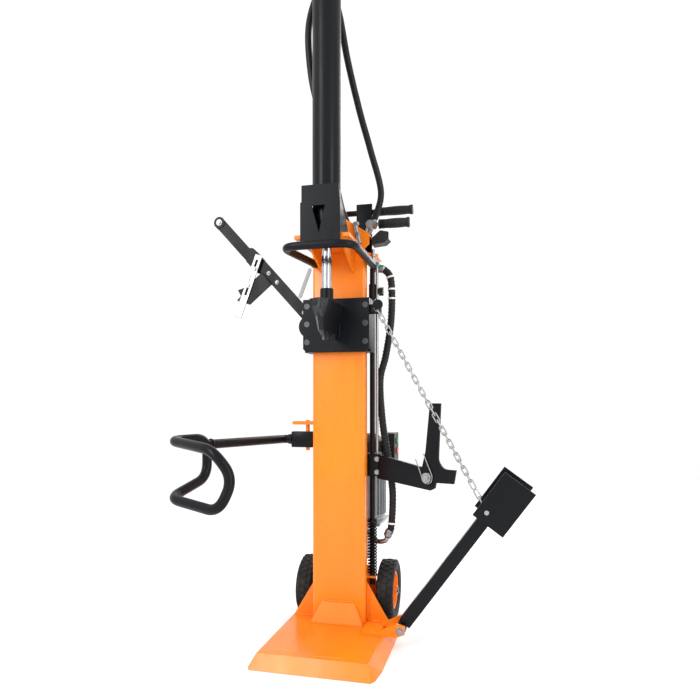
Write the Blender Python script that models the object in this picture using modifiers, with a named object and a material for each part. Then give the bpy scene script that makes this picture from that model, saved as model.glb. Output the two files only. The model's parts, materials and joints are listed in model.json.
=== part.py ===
"""Upright hydraulic log splitter: column, sliding wedge, cylinder, log lifter, arms and controls.

Metres, +Z up. The machine's front faces -Y. The origin is on the ground, under the middle of the
column's front face.
"""

from math import cos, hypot, pi, radians, sin

import bmesh
import bpy
from mathutils import Matrix, Vector

GAP = 0.0003                      # clearance between pieces that touch

# Base and column
PLATE_TOP = 0.040                 # height of the base plate's upper face
PLATE_HALF = 0.170
PLATE_FRONT = -0.300
PLATE_BACK = 0.048
SHEET = 0.005
COLUMN_HALF = 0.0915
COLUMN_DEPTH = 0.048
TANK_HALF = 0.055
TANK_BACK = 0.1385
TANK_TOP = 1.215

# Cylinder, rod and carriage
CYL_Y = -0.140
CYL_RADIUS = 0.045
CYL_BOTTOM = 1.300
CYL_TOP = 2.275
ROD_RADIUS = 0.016
PLATE_LOW = 0.948                 # carriage plate
PLATE_HIGH = 1.126
PLATE_WIDE = 0.114
CARRIAGE_FRONT = -0.034
HEAD_LOW = 1.285                  # head plate that carries the cylinder
HEAD_HIGH = 1.297
COLUMN_TOP = HEAD_LOW - GAP
PISTON_LOW = 2.106

# Axes of the moving pieces
WHEEL_AXIS = Vector((0.0, 0.160, 0.1115))
WHEEL_RADIUS = 0.1075
WHEEL_X = 0.145
LIFTER_PIVOT = Vector((0.225, -0.050, 0.062))
LIFTER_ANGLE = radians(54)
LEVER_PIVOT = Vector((-0.128, 0.082, 1.060))
LEVER_END = Vector((-0.482, 0.082, 1.448))
STRUT_PIVOT = Vector((-0.161, 0.082, 1.158))
STRUT_TOP = Vector((-0.125, 0.082, 1.250))
CATCH_PIVOT = Vector((-0.135, 0.085, 0.649))
HOOK_PIVOT = Vector((0.309, -0.006, 0.538))
ARM_START = Vector((0.122, 0.0695, 0.565))
CHAIN_TOP = Vector((0.138, -0.030, 1.090))
CHAIN_END = Vector((0.492, -0.100, 0.451))
CHAIN_SLACK = 0.070               # the rigid bar stops this far short of the lifter
STROKE_ROD = Vector((0.100, 0.0855, 0.0))
KNOB_POINT = Vector((0.1145, 0.0855, 1.165))
CONTROL_PIVOT = Vector((0.098, 0.060, 1.391))
MOTOR = Vector((0.030, 0.245, 0.0))
MOTOR_RADIUS = 0.088

X, Y, Z = Vector((1, 0, 0)), Vector((0, 1, 0)), Vector((0, 0, 1))

for old in list(bpy.data.objects):
    bpy.data.objects.remove(old, do_unlink=True)

PARTS = bpy.data.collections.new("log_splitter")
CUTTERS = bpy.data.collections.new("cutters")
bpy.context.scene.collection.children.link(PARTS)
bpy.context.scene.collection.children.link(CUTTERS)


def make_material(name, colour, roughness, metallic=0.0):
    material = bpy.data.materials.new(name)
    material.use_nodes = True
    shader = material.node_tree.nodes["Principled BSDF"]
    shader.inputs["Base Color"].default_value = (*colour, 1.0)
    shader.inputs["Roughness"].default_value = roughness
    shader.inputs["Metallic"].default_value = metallic
    return material


ORANGE = make_material("orange_paint", (0.90, 0.26, 0.01), 0.35)
BLACK = make_material("black_paint", (0.020, 0.022, 0.026), 0.45)
CHROME = make_material("chrome", (0.80, 0.80, 0.80), 0.10, 1.0)
ZINC = make_material("zinc_plate", (0.68, 0.68, 0.66), 0.30, 1.0)
RUBBER = make_material("rubber", (0.018, 0.018, 0.019), 0.75)
PLASTIC = make_material("black_plastic", (0.025, 0.025, 0.028), 0.50)
GREY = make_material("grey_paint", (0.32, 0.33, 0.34), 0.45)
CAST = make_material("cast_aluminium", (0.45, 0.46, 0.47), 0.55, 0.6)
GREEN = make_material("green_plastic", (0.02, 0.30, 0.05), 0.40)
RED = make_material("red_plastic", (0.55, 0.02, 0.02), 0.40)


def place(obj, name, material, smooth=False):
    """Name a piece, give it its material and move it to the parts' collection."""
    obj.name = name
    for collection in list(obj.users_collection):
        collection.objects.unlink(obj)
    PARTS.objects.link(obj)
    obj.data.materials.clear()
    obj.data.materials.append(material)
    if smooth and obj.type == "MESH":
        obj.data.shade_smooth()
        obj.data.set_sharp_from_angle(angle=radians(35))
    return obj


def as_cutter(obj):
    for collection in list(obj.users_collection):
        collection.objects.unlink(obj)
    CUTTERS.objects.link(obj)
    obj.hide_render = True
    obj.display_type = "WIRE"
    return obj


def box(name, low, high, material, bevel=0.0, segments=2):
    low, high = Vector(low), Vector(high)
    bpy.ops.mesh.primitive_cube_add(size=1, location=(low + high) / 2)
    obj = place(bpy.context.object, name, material)
    obj.scale = high - low
    bpy.ops.object.transform_apply(location=False, rotation=False, scale=True)
    if bevel:
        rounding = obj.modifiers.new("rounded_edges", "BEVEL")
        rounding.width = bevel
        rounding.segments = segments
    return obj


def rod(name, start, end, radius, material, sides=24):
    start, end = Vector(start), Vector(end)
    bpy.ops.mesh.primitive_cylinder_add(vertices=sides, radius=radius, depth=(end - start).length,
                                        location=(start + end) / 2)
    obj = place(bpy.context.object, name, material, smooth=True)
    obj.rotation_mode = "QUATERNION"
    obj.rotation_quaternion = (end - start).to_track_quat("Z", "Y")
    return obj


def turned(name, profile, origin, axis, material, steps=32):
    """Turn (radius, height) points about axis. The profile runs down its outer side."""
    mesh = bpy.data.meshes.new(name)
    points = [(r, 0.0, h) for r, h in profile]
    edges = [(i, (i + 1) % len(points)) for i in range(len(points))]
    if profile[0][0] < 1e-6:
        edges.pop()
    mesh.from_pydata(points, edges, [])
    obj = bpy.data.objects.new(name, mesh)
    PARTS.objects.link(obj)
    mesh.materials.append(material)
    obj.location = origin
    obj.rotation_mode = "QUATERNION"
    obj.rotation_quaternion = Vector(axis).to_track_quat("Z", "Y")
    screw = obj.modifiers.new("turn", "SCREW")
    screw.steps = screw.render_steps = steps
    screw.use_merge_vertices = True
    screw.merge_threshold = 0.00005
    screw.use_smooth_shade = True
    return obj


def ring(name, origin, axis, outer, inner, thickness, material, steps=32):
    """A tube or washer, centred on origin."""
    half = thickness / 2
    profile = [(outer, half), (outer, -half), (inner, -half), (inner, half)]
    return turned(name, profile, origin, axis, material, steps)


def curve_object(name, points, radius, material, cyclic=False, sides=2):
    curve = bpy.data.curves.new(name, "CURVE")
    curve.dimensions = "3D"
    curve.bevel_depth = radius
    curve.bevel_resolution = sides
    curve.use_fill_caps = True
    spline = curve.splines.new("POLY")
    spline.points.add(len(points) - 1)
    for point, position in zip(spline.points, points):
        point.co = (*position, 1.0)
    spline.use_cyclic_u = cyclic
    obj = bpy.data.objects.new(name, curve)
    PARTS.objects.link(obj)
    curve.materials.append(material)
    return obj


def smooth_path(points, per_span=6):
    """Points of a Catmull-Rom curve through the given points."""
    points = [Vector(p) for p in points]
    ends = [2 * points[0] - points[1]] + points + [2 * points[-1] - points[-2]]
    path = []
    for i in range(1, len(ends) - 2):
        a, b, c, d = ends[i - 1:i + 3]
        for step in range(per_span):
            t = step / per_span
            path.append(0.5 * (2 * b + (c - a) * t + (2 * a - 5 * b + 4 * c - d) * t * t
                               + (3 * b - a - 3 * c + d) * t ** 3))
    path.append(points[-1])
    return path


def rounded_path(points, radius, steps=4, cyclic=False):
    """Straight runs joined by arcs of about the given radius, as a bent tube has."""
    points = [Vector(p) for p in points]
    count = len(points)
    path = []
    for i, corner in enumerate(points):
        if not cyclic and i in (0, count - 1):
            path.append(corner)
            continue
        before = points[i - 1] - corner
        after = points[(i + 1) % count] - corner
        reach = min(radius, before.length * 0.45, after.length * 0.45)
        start = corner + before.normalized() * reach
        end = corner + after.normalized() * reach
        for step in range(steps + 1):
            t = step / steps
            path.append((1 - t) ** 2 * start + 2 * t * (1 - t) * corner + t * t * end)
    return path


def flat(name, outline, thickness, origin, across, up, material, holes=()):
    """A flat plate: an outline in the plane of across and up, centred on origin in thickness."""
    curve = bpy.data.curves.new(name, "CURVE")
    curve.dimensions = "2D"
    curve.fill_mode = "BOTH"
    curve.extrude = thickness / 2
    for loop in [outline, *holes]:
        spline = curve.splines.new("POLY")
        spline.points.add(len(loop) - 1)
        for point, (u, v) in zip(spline.points, loop):
            point.co = (u, v, 0.0, 1.0)
        spline.use_cyclic_u = True
    obj = bpy.data.objects.new(name, curve)
    PARTS.objects.link(obj)
    curve.materials.append(material)
    across, up = Vector(across).normalized(), Vector(up).normalized()
    normal = across.cross(up)
    frame = Matrix((across, up, normal)).transposed().to_4x4()
    obj.matrix_world = Matrix.Translation(Vector(origin)) @ frame
    return obj


def circle(centre, radius, count=20):
    return [(centre[0] + radius * cos(2 * pi * i / count), centre[1] + radius * sin(2 * pi * i / count))
            for i in range(count)]


def bar_outline(length, width, count=8):
    """A bar with round ends, from (0, 0) to (length, 0)."""
    half = width / 2
    right = [(length + half * cos(a), half * sin(a))
             for a in (-pi / 2 + pi * i / count for i in range(count + 1))]
    left = [(half * cos(a), half * sin(a)) for a in (pi / 2 + pi * i / count for i in range(count + 1))]
    return right + left


def to_mesh(obj):
    """Turn a curve object into a closed mesh object of the same name."""
    bpy.context.view_layer.update()
    source = obj.evaluated_get(bpy.context.evaluated_depsgraph_get())
    mesh = bpy.data.meshes.new_from_object(source)
    tidy = bmesh.new()
    tidy.from_mesh(mesh)
    bmesh.ops.remove_doubles(tidy, verts=tidy.verts, dist=0.00002)
    tidy.to_mesh(mesh)
    tidy.free()
    name, where, material = obj.name, obj.matrix_world.copy(), obj.data.materials[0]
    bpy.data.objects.remove(obj, do_unlink=True)
    new = bpy.data.objects.new(name, mesh)
    PARTS.objects.link(new)
    new.matrix_world = where
    mesh.materials.clear()
    mesh.materials.append(material)
    return new


def boolean(target, other, operation):
    change = target.modifiers.new(operation.lower(), "BOOLEAN")
    change.operation = operation
    change.object = as_cutter(other)
    return target


def weld(target, *others):
    """Join pieces that overlap into one closed body."""
    target = to_mesh(target) if target.type == "CURVE" else target
    for other in others:
        boolean(target, to_mesh(other) if other.type == "CURVE" else other, "UNION")
    return target


def pivot(name, where, *pieces):
    """An empty on a joint's axis, with the moving pieces parented to it."""
    empty = bpy.data.objects.new(name, None)
    empty.location = where
    empty.empty_display_size = 0.05
    PARTS.objects.link(empty)
    bpy.context.view_layer.update()
    for piece in pieces:
        piece.parent = empty
        piece.matrix_parent_inverse = empty.matrix_world.inverted()
    return empty


# ---------------------------------------------------------------- base and column

def make_base_plate():
    """One bent sheet: a flat top with sloping flanges at the front and the two sides."""
    front, side, corner = -0.333, 0.200, (0.192, -0.316)
    shell = bmesh.new()
    top = [shell.verts.new(p) for p in ((-PLATE_HALF, PLATE_BACK, PLATE_TOP),
                                        (-PLATE_HALF, PLATE_FRONT, PLATE_TOP),
                                        (PLATE_HALF, PLATE_FRONT, PLATE_TOP),
                                        (PLATE_HALF, PLATE_BACK, PLATE_TOP))]
    foot = [shell.verts.new(p) for p in ((-side, PLATE_BACK, 0), (-side, -0.250, 0),
                                         (-corner[0], corner[1], 0), (-0.182, front, 0),
                                         (0.182, front, 0), (corner[0], corner[1], 0),
                                         (side, -0.250, 0), (side, PLATE_BACK, 0))]
    faces = [(top[0], top[1], top[2], top[3]), (top[0], foot[0], foot[1], top[1]),
             (top[1], foot[1], foot[2]), (top[1], foot[2], foot[3]),
             (top[1], foot[3], foot[4], top[2]), (top[2], foot[4], foot[5]),
             (top[2], foot[5], foot[6]), (top[2], foot[6], foot[7], top[3])]
    for face in faces:
        shell.faces.new(face)
    mesh = bpy.data.meshes.new("base_plate")
    shell.to_mesh(mesh)
    shell.free()
    obj = bpy.data.objects.new("base_plate", mesh)
    PARTS.objects.link(obj)
    mesh.materials.append(ORANGE)
    thick = obj.modifiers.new("sheet", "SOLIDIFY")
    thick.thickness = SHEET
    thick.offset = -1.0
    thick.use_even_offset = True
    below = box("ground_cut", (-0.3, -0.4, -0.05), (0.3, 0.2, 0.0), ORANGE)
    boolean(obj, below, "DIFFERENCE")


def make_base_rail():
    """Flat bar under the middle of the base plate that carries it on the ground."""
    top = PLATE_TOP - SHEET - GAP
    box("base_rail", (-0.030, -0.285, 0), (0.030, PLATE_BACK - 0.004, top), ORANGE)


def make_rear_foot():
    """Channel behind the column, open below, that stands on the ground."""
    foot = box("rear_foot", (-0.100, PLATE_BACK + 0.001, 0), (0.100, 0.330, PLATE_TOP - 0.001), ORANGE)
    cutter = box("rear_foot_hollow", (-0.092, 0.040, -0.01), (0.092, 0.322, PLATE_TOP - 0.009), ORANGE)
    boolean(foot, cutter, "DIFFERENCE")


def make_column():
    column = box("column", (-COLUMN_HALF, 0, PLATE_TOP + GAP),
                 (COLUMN_HALF, COLUMN_DEPTH, COLUMN_TOP), ORANGE)
    bpy.context.view_layer.update()
    wall = 0.006
    inside = box("column_hollow", (-COLUMN_HALF + wall, wall, -0.1),
                 (COLUMN_HALF - wall, COLUMN_DEPTH - wall, COLUMN_TOP + 0.1), ORANGE)
    shape = bmesh.new()
    shape.from_mesh(column.data)
    upright = [e for e in shape.edges if abs((e.verts[0].co - e.verts[1].co).normalized().z) > 0.9]
    bmesh.ops.bevel(shape, geom=upright, offset=0.010, segments=5, profile=0.5, affect="EDGES")
    shape.to_mesh(column.data)
    shape.free()
    boolean(column, inside, "DIFFERENCE")

    tank = box("oil_tank", (-TANK_HALF, COLUMN_DEPTH + GAP, PLATE_TOP + 0.001),
               (TANK_HALF, TANK_BACK, TANK_TOP), ORANGE)
    inside = box("tank_hollow", (-TANK_HALF + 0.004, COLUMN_DEPTH + 0.005, PLATE_TOP + 0.006),
                 (TANK_HALF - 0.004, TANK_BACK - 0.004, TANK_TOP - 0.004), ORANGE)
    filler = rod("tank_filler_hole", (0, 0.093, TANK_TOP - 0.05), (0, 0.093, TANK_TOP + 0.05), 0.014, ORANGE)
    boolean(tank, inside, "DIFFERENCE")
    boolean(tank, filler, "DIFFERENCE")


def make_gussets():
    for side, name in ((-1, "left"), (1, "right")):
        outline = [(side * 0.168, PLATE_TOP + GAP), (side * (COLUMN_HALF + GAP), PLATE_TOP + GAP),
                   (side * (COLUMN_HALF + GAP), 0.169)]
        flat(f"gusset_{name}", outline, 0.006, (0, 0.038, 0), X, Z, ORANGE)
    outline = [(-0.106, PLATE_TOP), (0.106, PLATE_TOP), (0.106, 0.120), (0.095, 0.199),
               (-0.095, 0.199), (-0.106, 0.120)]
    flat("axle_bracket", outline, 0.008, (0, TANK_BACK + 0.0045, 0), X, Z, ORANGE)


def make_wheels():
    y, z = WHEEL_AXIS.y, WHEEL_AXIS.z
    rod("axle", (-0.1815, y, z), (0.1815, y, z), 0.0085, ZINC)
    for side, name in ((-1, "left"), (1, "right")):
        centre = (side * WHEEL_X, y, z)
        tyre = [(0.098, 0.030), (WHEEL_RADIUS, 0.018), (WHEEL_RADIUS, -0.018), (0.098, -0.030),
                (0.070, -0.027), (0.0653, -0.020), (0.0653, 0.020), (0.070, 0.027)]
        turned(f"tyre_{name}", tyre, centre, X, RUBBER)
        rim = [(0.065, 0.022), (0.065, -0.022), (0.058, -0.022), (0.056, -0.006), (0.018, -0.006),
               (0.018, -0.030), (0.0087, -0.030), (0.0087, 0.030), (0.018, 0.030), (0.018, 0.006),
               (0.056, 0.006), (0.058, 0.022)]
        turned(f"rim_{name}", rim, centre, X, ORANGE)
        pivot(f"axis_wheel_{name}", centre, bpy.data.objects[f"tyre_{name}"],
              bpy.data.objects[f"rim_{name}"])


# ---------------------------------------------------------------- head, cylinder and bracket

def make_head():
    """The plate on the column that carries the cylinder, with its gussets and bracket."""
    outline = [(-0.088, -0.200), (0.088, -0.200), (0.088, 0.060), (0.120, 0.090), (0.120, 0.165),
               (-0.120, 0.165), (-0.120, 0.090), (-0.088, 0.060)]
    head = flat("head_plate", outline, HEAD_HIGH - HEAD_LOW, (0, 0, (HEAD_LOW + HEAD_HIGH) / 2), X, Y,
                ORANGE, holes=[circle((0, CYL_Y), 0.024)])
    outline = [(-0.185, HEAD_LOW + 0.003), (-0.001, HEAD_LOW + 0.003), (-0.001, 1.215)]
    gussets = [flat("head_gusset", outline, 0.008, (x, 0, 0), Y, Z, ORANGE) for x in (-0.054, 0.054)]
    weld(head, *gussets)

    base = HEAD_LOW - 0.016
    outline = [(-0.065, base), (0.062, base), (0.062, 1.392), (0.058, 1.396), (0.058, 1.446),
               (-0.061, 1.446), (-0.061, 1.396), (-0.065, 1.392)]
    notch = [(-0.028, 1.382), (0.014, 1.382), (-0.005, 1.300)]
    front = flat("cylinder_bracket", outline, 0.006, (0, -0.2075, 0), X, Z, BLACK, holes=[notch])
    outline = [(-0.208, HEAD_HIGH + GAP), (-0.080, HEAD_HIGH + GAP), (-0.080, 1.330),
               (-0.190, 1.430), (-0.208, 1.430)]
    sides = [flat("bracket_side", outline, 0.006, (x, 0, 0), Y, Z, BLACK) for x in (-0.0535, 0.0535)]
    weld(front, *sides)


def make_cylinder():
    """Cylinder tube with its welded end, and the gland that the rod runs through."""
    bore = 0.0375
    at = (0, CYL_Y, 0)
    turned("cylinder_tube", [(0, CYL_TOP + 0.012), (0.042, CYL_TOP + 0.012), (CYL_RADIUS, CYL_TOP + 0.009),
                             (CYL_RADIUS, CYL_BOTTOM + 0.001), (bore, CYL_BOTTOM + 0.001),
                             (bore, CYL_TOP - 0.015), (0, CYL_TOP - 0.015)], at, Z, BLACK, 40)
    turned("cylinder_gland", [(bore - GAP, CYL_BOTTOM + 0.025), (bore - GAP, CYL_BOTTOM + 0.0007),
                              (0.046, CYL_BOTTOM + 0.0007), (0.046, HEAD_HIGH + GAP),
                              (0.022, HEAD_HIGH + GAP), (0.022, HEAD_LOW - 0.006),
                              (ROD_RADIUS + 0.0003, HEAD_LOW - 0.006),
                              (ROD_RADIUS + 0.0003, CYL_BOTTOM + 0.025)], at, Z, BLACK, 40)


def make_hoop():
    """Bent tube that guards the rod and the wedge."""
    height = 1.2505
    route = [(-0.079, -0.003, height), (-0.112, -0.251, height), (0.112, -0.251, height),
             (0.107, 0.060, height)]
    curve_object("guard_hoop", rounded_path(route, 0.055, 6), 0.0125, BLACK, sides=3)


def make_carriage():
    """Plate that carries the wedge, and the guides that hold it round the column."""
    plate = flat("carriage_plate",
                 [(-PLATE_WIDE, PLATE_LOW + 0.012), (-PLATE_WIDE + 0.012, PLATE_LOW),
                  (PLATE_WIDE - 0.012, PLATE_LOW), (PLATE_WIDE, PLATE_LOW + 0.012),
                  (PLATE_WIDE, PLATE_HIGH), (-PLATE_WIDE, PLATE_HIGH)],
                 0.020, (0, CARRIAGE_FRONT + 0.010, 0), X, Z, BLACK)
    back = CARRIAGE_FRONT + 0.020 + GAP
    pieces = [plate]
    middle = (PLATE_LOW + PLATE_HIGH) / 2
    height = PLATE_HIGH - PLATE_LOW
    for side, name in ((-1, "left"), (1, "right")):
        outline = [(side * PLATE_WIDE, back), (side * 0.0928, back), (side * 0.0928, COLUMN_DEPTH + 0.001),
                   (side * 0.0630, COLUMN_DEPTH + 0.001), (side * 0.0630, 0.060), (side * PLATE_WIDE, 0.060)]
        guide = flat(f"guide_{name}", outline, height - 0.002, (0, 0, middle), X, Y, BLACK)
        if side > 0:
            hook = CHAIN_TOP.z
            lug = box("chain_hook", (0.108, -0.0125, hook - 0.016), (0.150, -0.002, hook + 0.016), BLACK)
            boss = box("chain_boss", (0.1155, -0.0245, hook - 0.014), (0.149, -0.004, hook + 0.014), BLACK)
            guide = weld(guide, lug, boss)
        pieces.append(guide)
    blade = [(-0.011, -0.0345), (-0.011, -0.222), (0, -0.240), (0.011, -0.222), (0.011, -0.0345)]
    return pieces + [make_wedge(blade)] + make_rod_pieces()


def make_wedge(blade):
    """Blade with a sharp lower edge that widens into a V-shaped spreader above."""
    rings = ((0.972, 0.04, 0.150), (1.000, 0.75, 0.190), (1.038, 1.0, 0.206), (1.040, 1.05, 0.206),
             (1.097, 2.9, 0.206))
    shape = bmesh.new()
    loops = []
    for height, width, reach in rings:
        loop = []
        for x, y in blade:
            depth = -0.0345 + (y + 0.0345) * reach / 0.206
            lift = 0.016 if height < 0.99 and y > -0.1 else 0.0
            loop.append(shape.verts.new((x * width, depth, height + lift)))
        loops.append(loop)
    count = len(blade)
    for low, high in zip(loops, loops[1:]):
        for i in range(count):
            j = (i + 1) % count
            shape.faces.new((low[i], low[j], high[j], high[i]))
    shape.faces.new(loops[0][::-1])
    shape.faces.new(loops[-1])
    bmesh.ops.recalc_face_normals(shape, faces=shape.faces)
    mesh = bpy.data.meshes.new("wedge")
    shape.to_mesh(mesh)
    shape.free()
    obj = bpy.data.objects.new("wedge", mesh)
    PARTS.objects.link(obj)
    mesh.materials.append(BLACK)
    return obj


def make_rod_pieces():
    top = 1.097
    collar = turned("rod_collar", [(0.021, top + 0.042), (0.021, top + GAP), (0, top + GAP),
                                   (0, top + 0.006), (0.0163, top + 0.006), (0.0163, top + 0.042)],
                    (0, CYL_Y, 0), Z, BLACK)
    shaft = rod("piston_rod", (0, CYL_Y, top + 0.007), (0, CYL_Y, PISTON_LOW - GAP), ROD_RADIUS, CHROME, 32)
    piston = turned("piston", [(0, 0.030), (0.0368, 0.030), (0.0368, 0), (0, 0)],
                    (0, CYL_Y, PISTON_LOW), Z, GREY, 32)
    return [collar, shaft, piston]


# ---------------------------------------------------------------- log lifter and chain

def beam_point(along, across):
    """A point of the lifter, measured along and across its beam, in X and Z."""
    c, s = cos(LIFTER_ANGLE), sin(LIFTER_ANGLE)
    return (LIFTER_PIVOT.x + along * c - across * s, LIFTER_PIVOT.z + along * s + across * c)


def make_lifter():
    y = LIFTER_PIVOT.y
    ear = [(0.150, PLATE_TOP + GAP), (0.214, PLATE_TOP + GAP), (0.240, 0.052), (0.240, 0.078),
           (0.214, 0.084), (0.150, 0.052)]
    ears = [flat("lifter_bracket", ear, 0.008, (0, y + offset, 0), X, Z, ORANGE)
            for offset in (-0.040, 0.040)]
    tie = box("lifter_tie", (0.100, y - 0.044, PLATE_TOP + GAP), (0.160, y + 0.044, PLATE_TOP + 0.008),
              ORANGE)
    pin = rod("lifter_pin", (LIFTER_PIVOT.x, y - 0.050, LIFTER_PIVOT.z),
              (LIFTER_PIVOT.x, y + 0.050, LIFTER_PIVOT.z), 0.008, ZINC, 32)
    weld(ears[0], tie, ears[1], pin)
    sleeve = ring("lifter_sleeve", LIFTER_PIVOT, Y, 0.0165, 0.0083, 0.070, BLACK)

    frame = [beam_point(a, b)
             for a, b in ((0.0172, -0.020), (0.595, -0.020), (0.595, 0.020), (0.0172, 0.020))]
    beam = to_mesh(flat("lifter_beam", frame, 0.040, (0, y, 0), X, Z, BLACK))
    core = [beam_point(a, b)
            for a, b in ((-0.050, -0.017), (0.650, -0.017), (0.650, 0.017), (-0.050, 0.017))]
    boolean(beam, to_mesh(flat("beam_hollow", core, 0.034, (0, y, 0), X, Z, BLACK)), "DIFFERENCE")

    plate = [beam_point(a, b)
             for a, b in ((0.440, -0.068), (0.602, -0.068), (0.602, 0.042), (0.440, 0.042))]
    front = flat("lifter_cradle", plate, 0.006, (0, y - 0.068, 0), X, Z, BLACK)
    back = flat("cradle_back", plate, 0.006, (0, y + 0.092, 0), X, Z, BLACK)
    strip = [beam_point(a, b)
             for a, b in ((0.450, -0.027), (0.590, -0.027), (0.590, -0.0205), (0.450, -0.0205))]
    floor = flat("cradle_floor", strip, 0.162, (0, y + 0.012, 0), X, Z, BLACK)
    cradle = weld(front, back, floor)
    pivot("axis_lifter", LIFTER_PIVOT, sleeve, beam, cradle)


def make_chain():
    """Plain bar in the place of the chain between the carriage's hook and the lifter."""
    run = (CHAIN_END - CHAIN_TOP).normalized()
    chain = rod("lifter_chain", CHAIN_TOP + run * 0.012, CHAIN_END - run * CHAIN_SLACK, 0.005, ZINC, 8)
    pivot("axis_chain", CHAIN_TOP, chain)


# ---------------------------------------------------------------- arms

def make_left_lever():
    """Upper lever with its log claw, the strut that steadies it and the bracket it turns on."""
    reach = LEVER_END - LEVER_PIVOT
    across = reach.normalized()
    up = Y.cross(across)
    length = reach.length
    bend_low, bend_high, shift = 0.285, 0.345, 0.014
    half = 0.020
    rise = 0.013                  # the lower bar runs a little above the pivot
    lower = flat("left_lever", bar_outline(bend_high, 2 * half), 0.006, LEVER_PIVOT + up * rise,
                 across, -up, BLACK)
    eye = rod("lever_eye", LEVER_PIVOT - Y * 0.003, LEVER_PIVOT + Y * 0.003, 0.022, BLACK, 32)
    start = LEVER_PIVOT + across * bend_low + Y * shift
    upper = flat("lever_upper", bar_outline(length - bend_low, 2 * half), 0.006, start, across, -up, BLACK)
    middle = LEVER_PIVOT + across * ((bend_low + bend_high) / 2) + Y * shift / 2 + up * rise / 2
    tall = half + rise / 2
    knee = box("lever_knee", (-0.022, -shift / 2 - 0.003, -tall), (0.022, shift / 2 + 0.003, tall), BLACK)
    knee.matrix_world = Matrix.Translation(middle) @ Matrix((across, Y, up)).transposed().to_4x4()
    lever = weld(lower, eye, knee, upper)
    hole = rod("lever_hole", LEVER_PIVOT - Y * 0.05, LEVER_PIVOT + Y * 0.05, 0.0083, BLACK)
    boolean(lever, hole, "DIFFERENCE")

    low, high = Vector((-0.396, 0.100, 1.090)), Vector((-0.3135, 0.100, 1.312))
    strip_dir = (high - low).normalized()
    length = (high - low).length
    slots = [[(a, -0.004), (a + 0.028, -0.004), (a + 0.028, 0.004), (a, 0.004)]
             for a in (0.085, 0.130, 0.190)]
    outline = [(0, -0.014), (length, -0.014), (length, 0.014), (0, 0.014)]
    strip = flat("claw_strip", outline, 0.004, low - Y * 0.0335, strip_dir, Y.cross(strip_dir), ZINC,
                 holes=slots)
    claw_shape = [(-0.304, 1.250), (-0.268, 1.205), (-0.352, 1.135), (-0.402, 1.152), (-0.386, 1.168),
                  (-0.398, 1.190), (-0.370, 1.198)]
    claw = flat("log_claw", claw_shape, 0.008, (0, 0.0735, 0), X, Z, BLACK)
    claw_parts = [claw, strip]

    post = [(TANK_HALF - 0.006, 1.030), (-LEVER_PIVOT.x + 0.020, 1.030), (-LEVER_PIVOT.x + 0.020, 1.085),
            (TANK_HALF - 0.006, 1.110)]
    post = [(-x, z) for x, z in post]
    bracket = flat("lever_bracket", post, 0.008, (0, TANK_BACK + 0.0050, 0), X, Z, BLACK)
    pin = rod("lever_pin", LEVER_PIVOT - Y * 0.012, (LEVER_PIVOT.x, TANK_BACK + 0.004, LEVER_PIVOT.z),
              0.008, ZINC)
    seat = LEVER_PIVOT - Z * 0.009
    disc = rod("pivot_disc", seat + Y * 0.0045, seat + Y * 0.012, 0.042, BLACK, 32)
    weld(bracket, pin, disc)
    pivot("axis_lever", LEVER_PIVOT, lever, *claw_parts)

    run = STRUT_TOP - STRUT_PIVOT
    strut = flat("lever_strut", bar_outline(run.length, 0.014), 0.004, STRUT_PIVOT - Y * 0.0055,
                 run.normalized(), Y.cross(run.normalized()), GREY)
    pivot("axis_strut", STRUT_PIVOT, strut)


def make_catch_arm():
    """Left arm with its grab loop, which holds the log and swings back out of the way."""
    y, z = CATCH_PIVOT.y, CATCH_PIVOT.z
    shelf = [(-0.185, 0.062), (-0.0565, 0.062), (-0.0565, 0.108), (-0.185, 0.108)]
    plate = flat("catch_bracket", shelf, 0.012, (0, 0, 0.708), X, Y, ORANGE)
    pin = rod("catch_pin", (CATCH_PIVOT.x, y, 0.610), (CATCH_PIVOT.x, y, 0.718), 0.007, ZINC)
    weld(plate, pin)

    block = box("catch_block", (-0.191, 0.066, 0.621), (-0.111, 0.104, 0.677), BLACK, 0.003)
    hole = rod("catch_hole", (CATCH_PIVOT.x, y, 0.5), (CATCH_PIVOT.x, y, 0.8), 0.0073, BLACK, 32)
    boolean(block, hole, "DIFFERENCE")
    tube = 0.015
    route = [(-0.1920, 0.085, z), (-0.222, 0.085, z), (-0.360, -0.243, z)]
    loop = [(-0.360, -0.243, 0.548), (-0.360, -0.243, 0.670), (-0.417, -0.365, 0.668),
            (-0.227, -0.472, 0.652), (-0.170, -0.462, 0.575), (-0.205, -0.480, 0.485),
            (-0.392, -0.410, 0.505)]
    arm = curve_object("catch_arm", rounded_path(route, 0.040, 5), tube, BLACK, sides=2)
    ring_path = rounded_path(loop, 0.045, 5, cyclic=True)
    grab = curve_object("catch_loop", ring_path, tube, BLACK, cyclic=True, sides=2)
    arm = weld(arm, grab)
    pivot("axis_catch", CATCH_PIVOT, block, arm)


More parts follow.
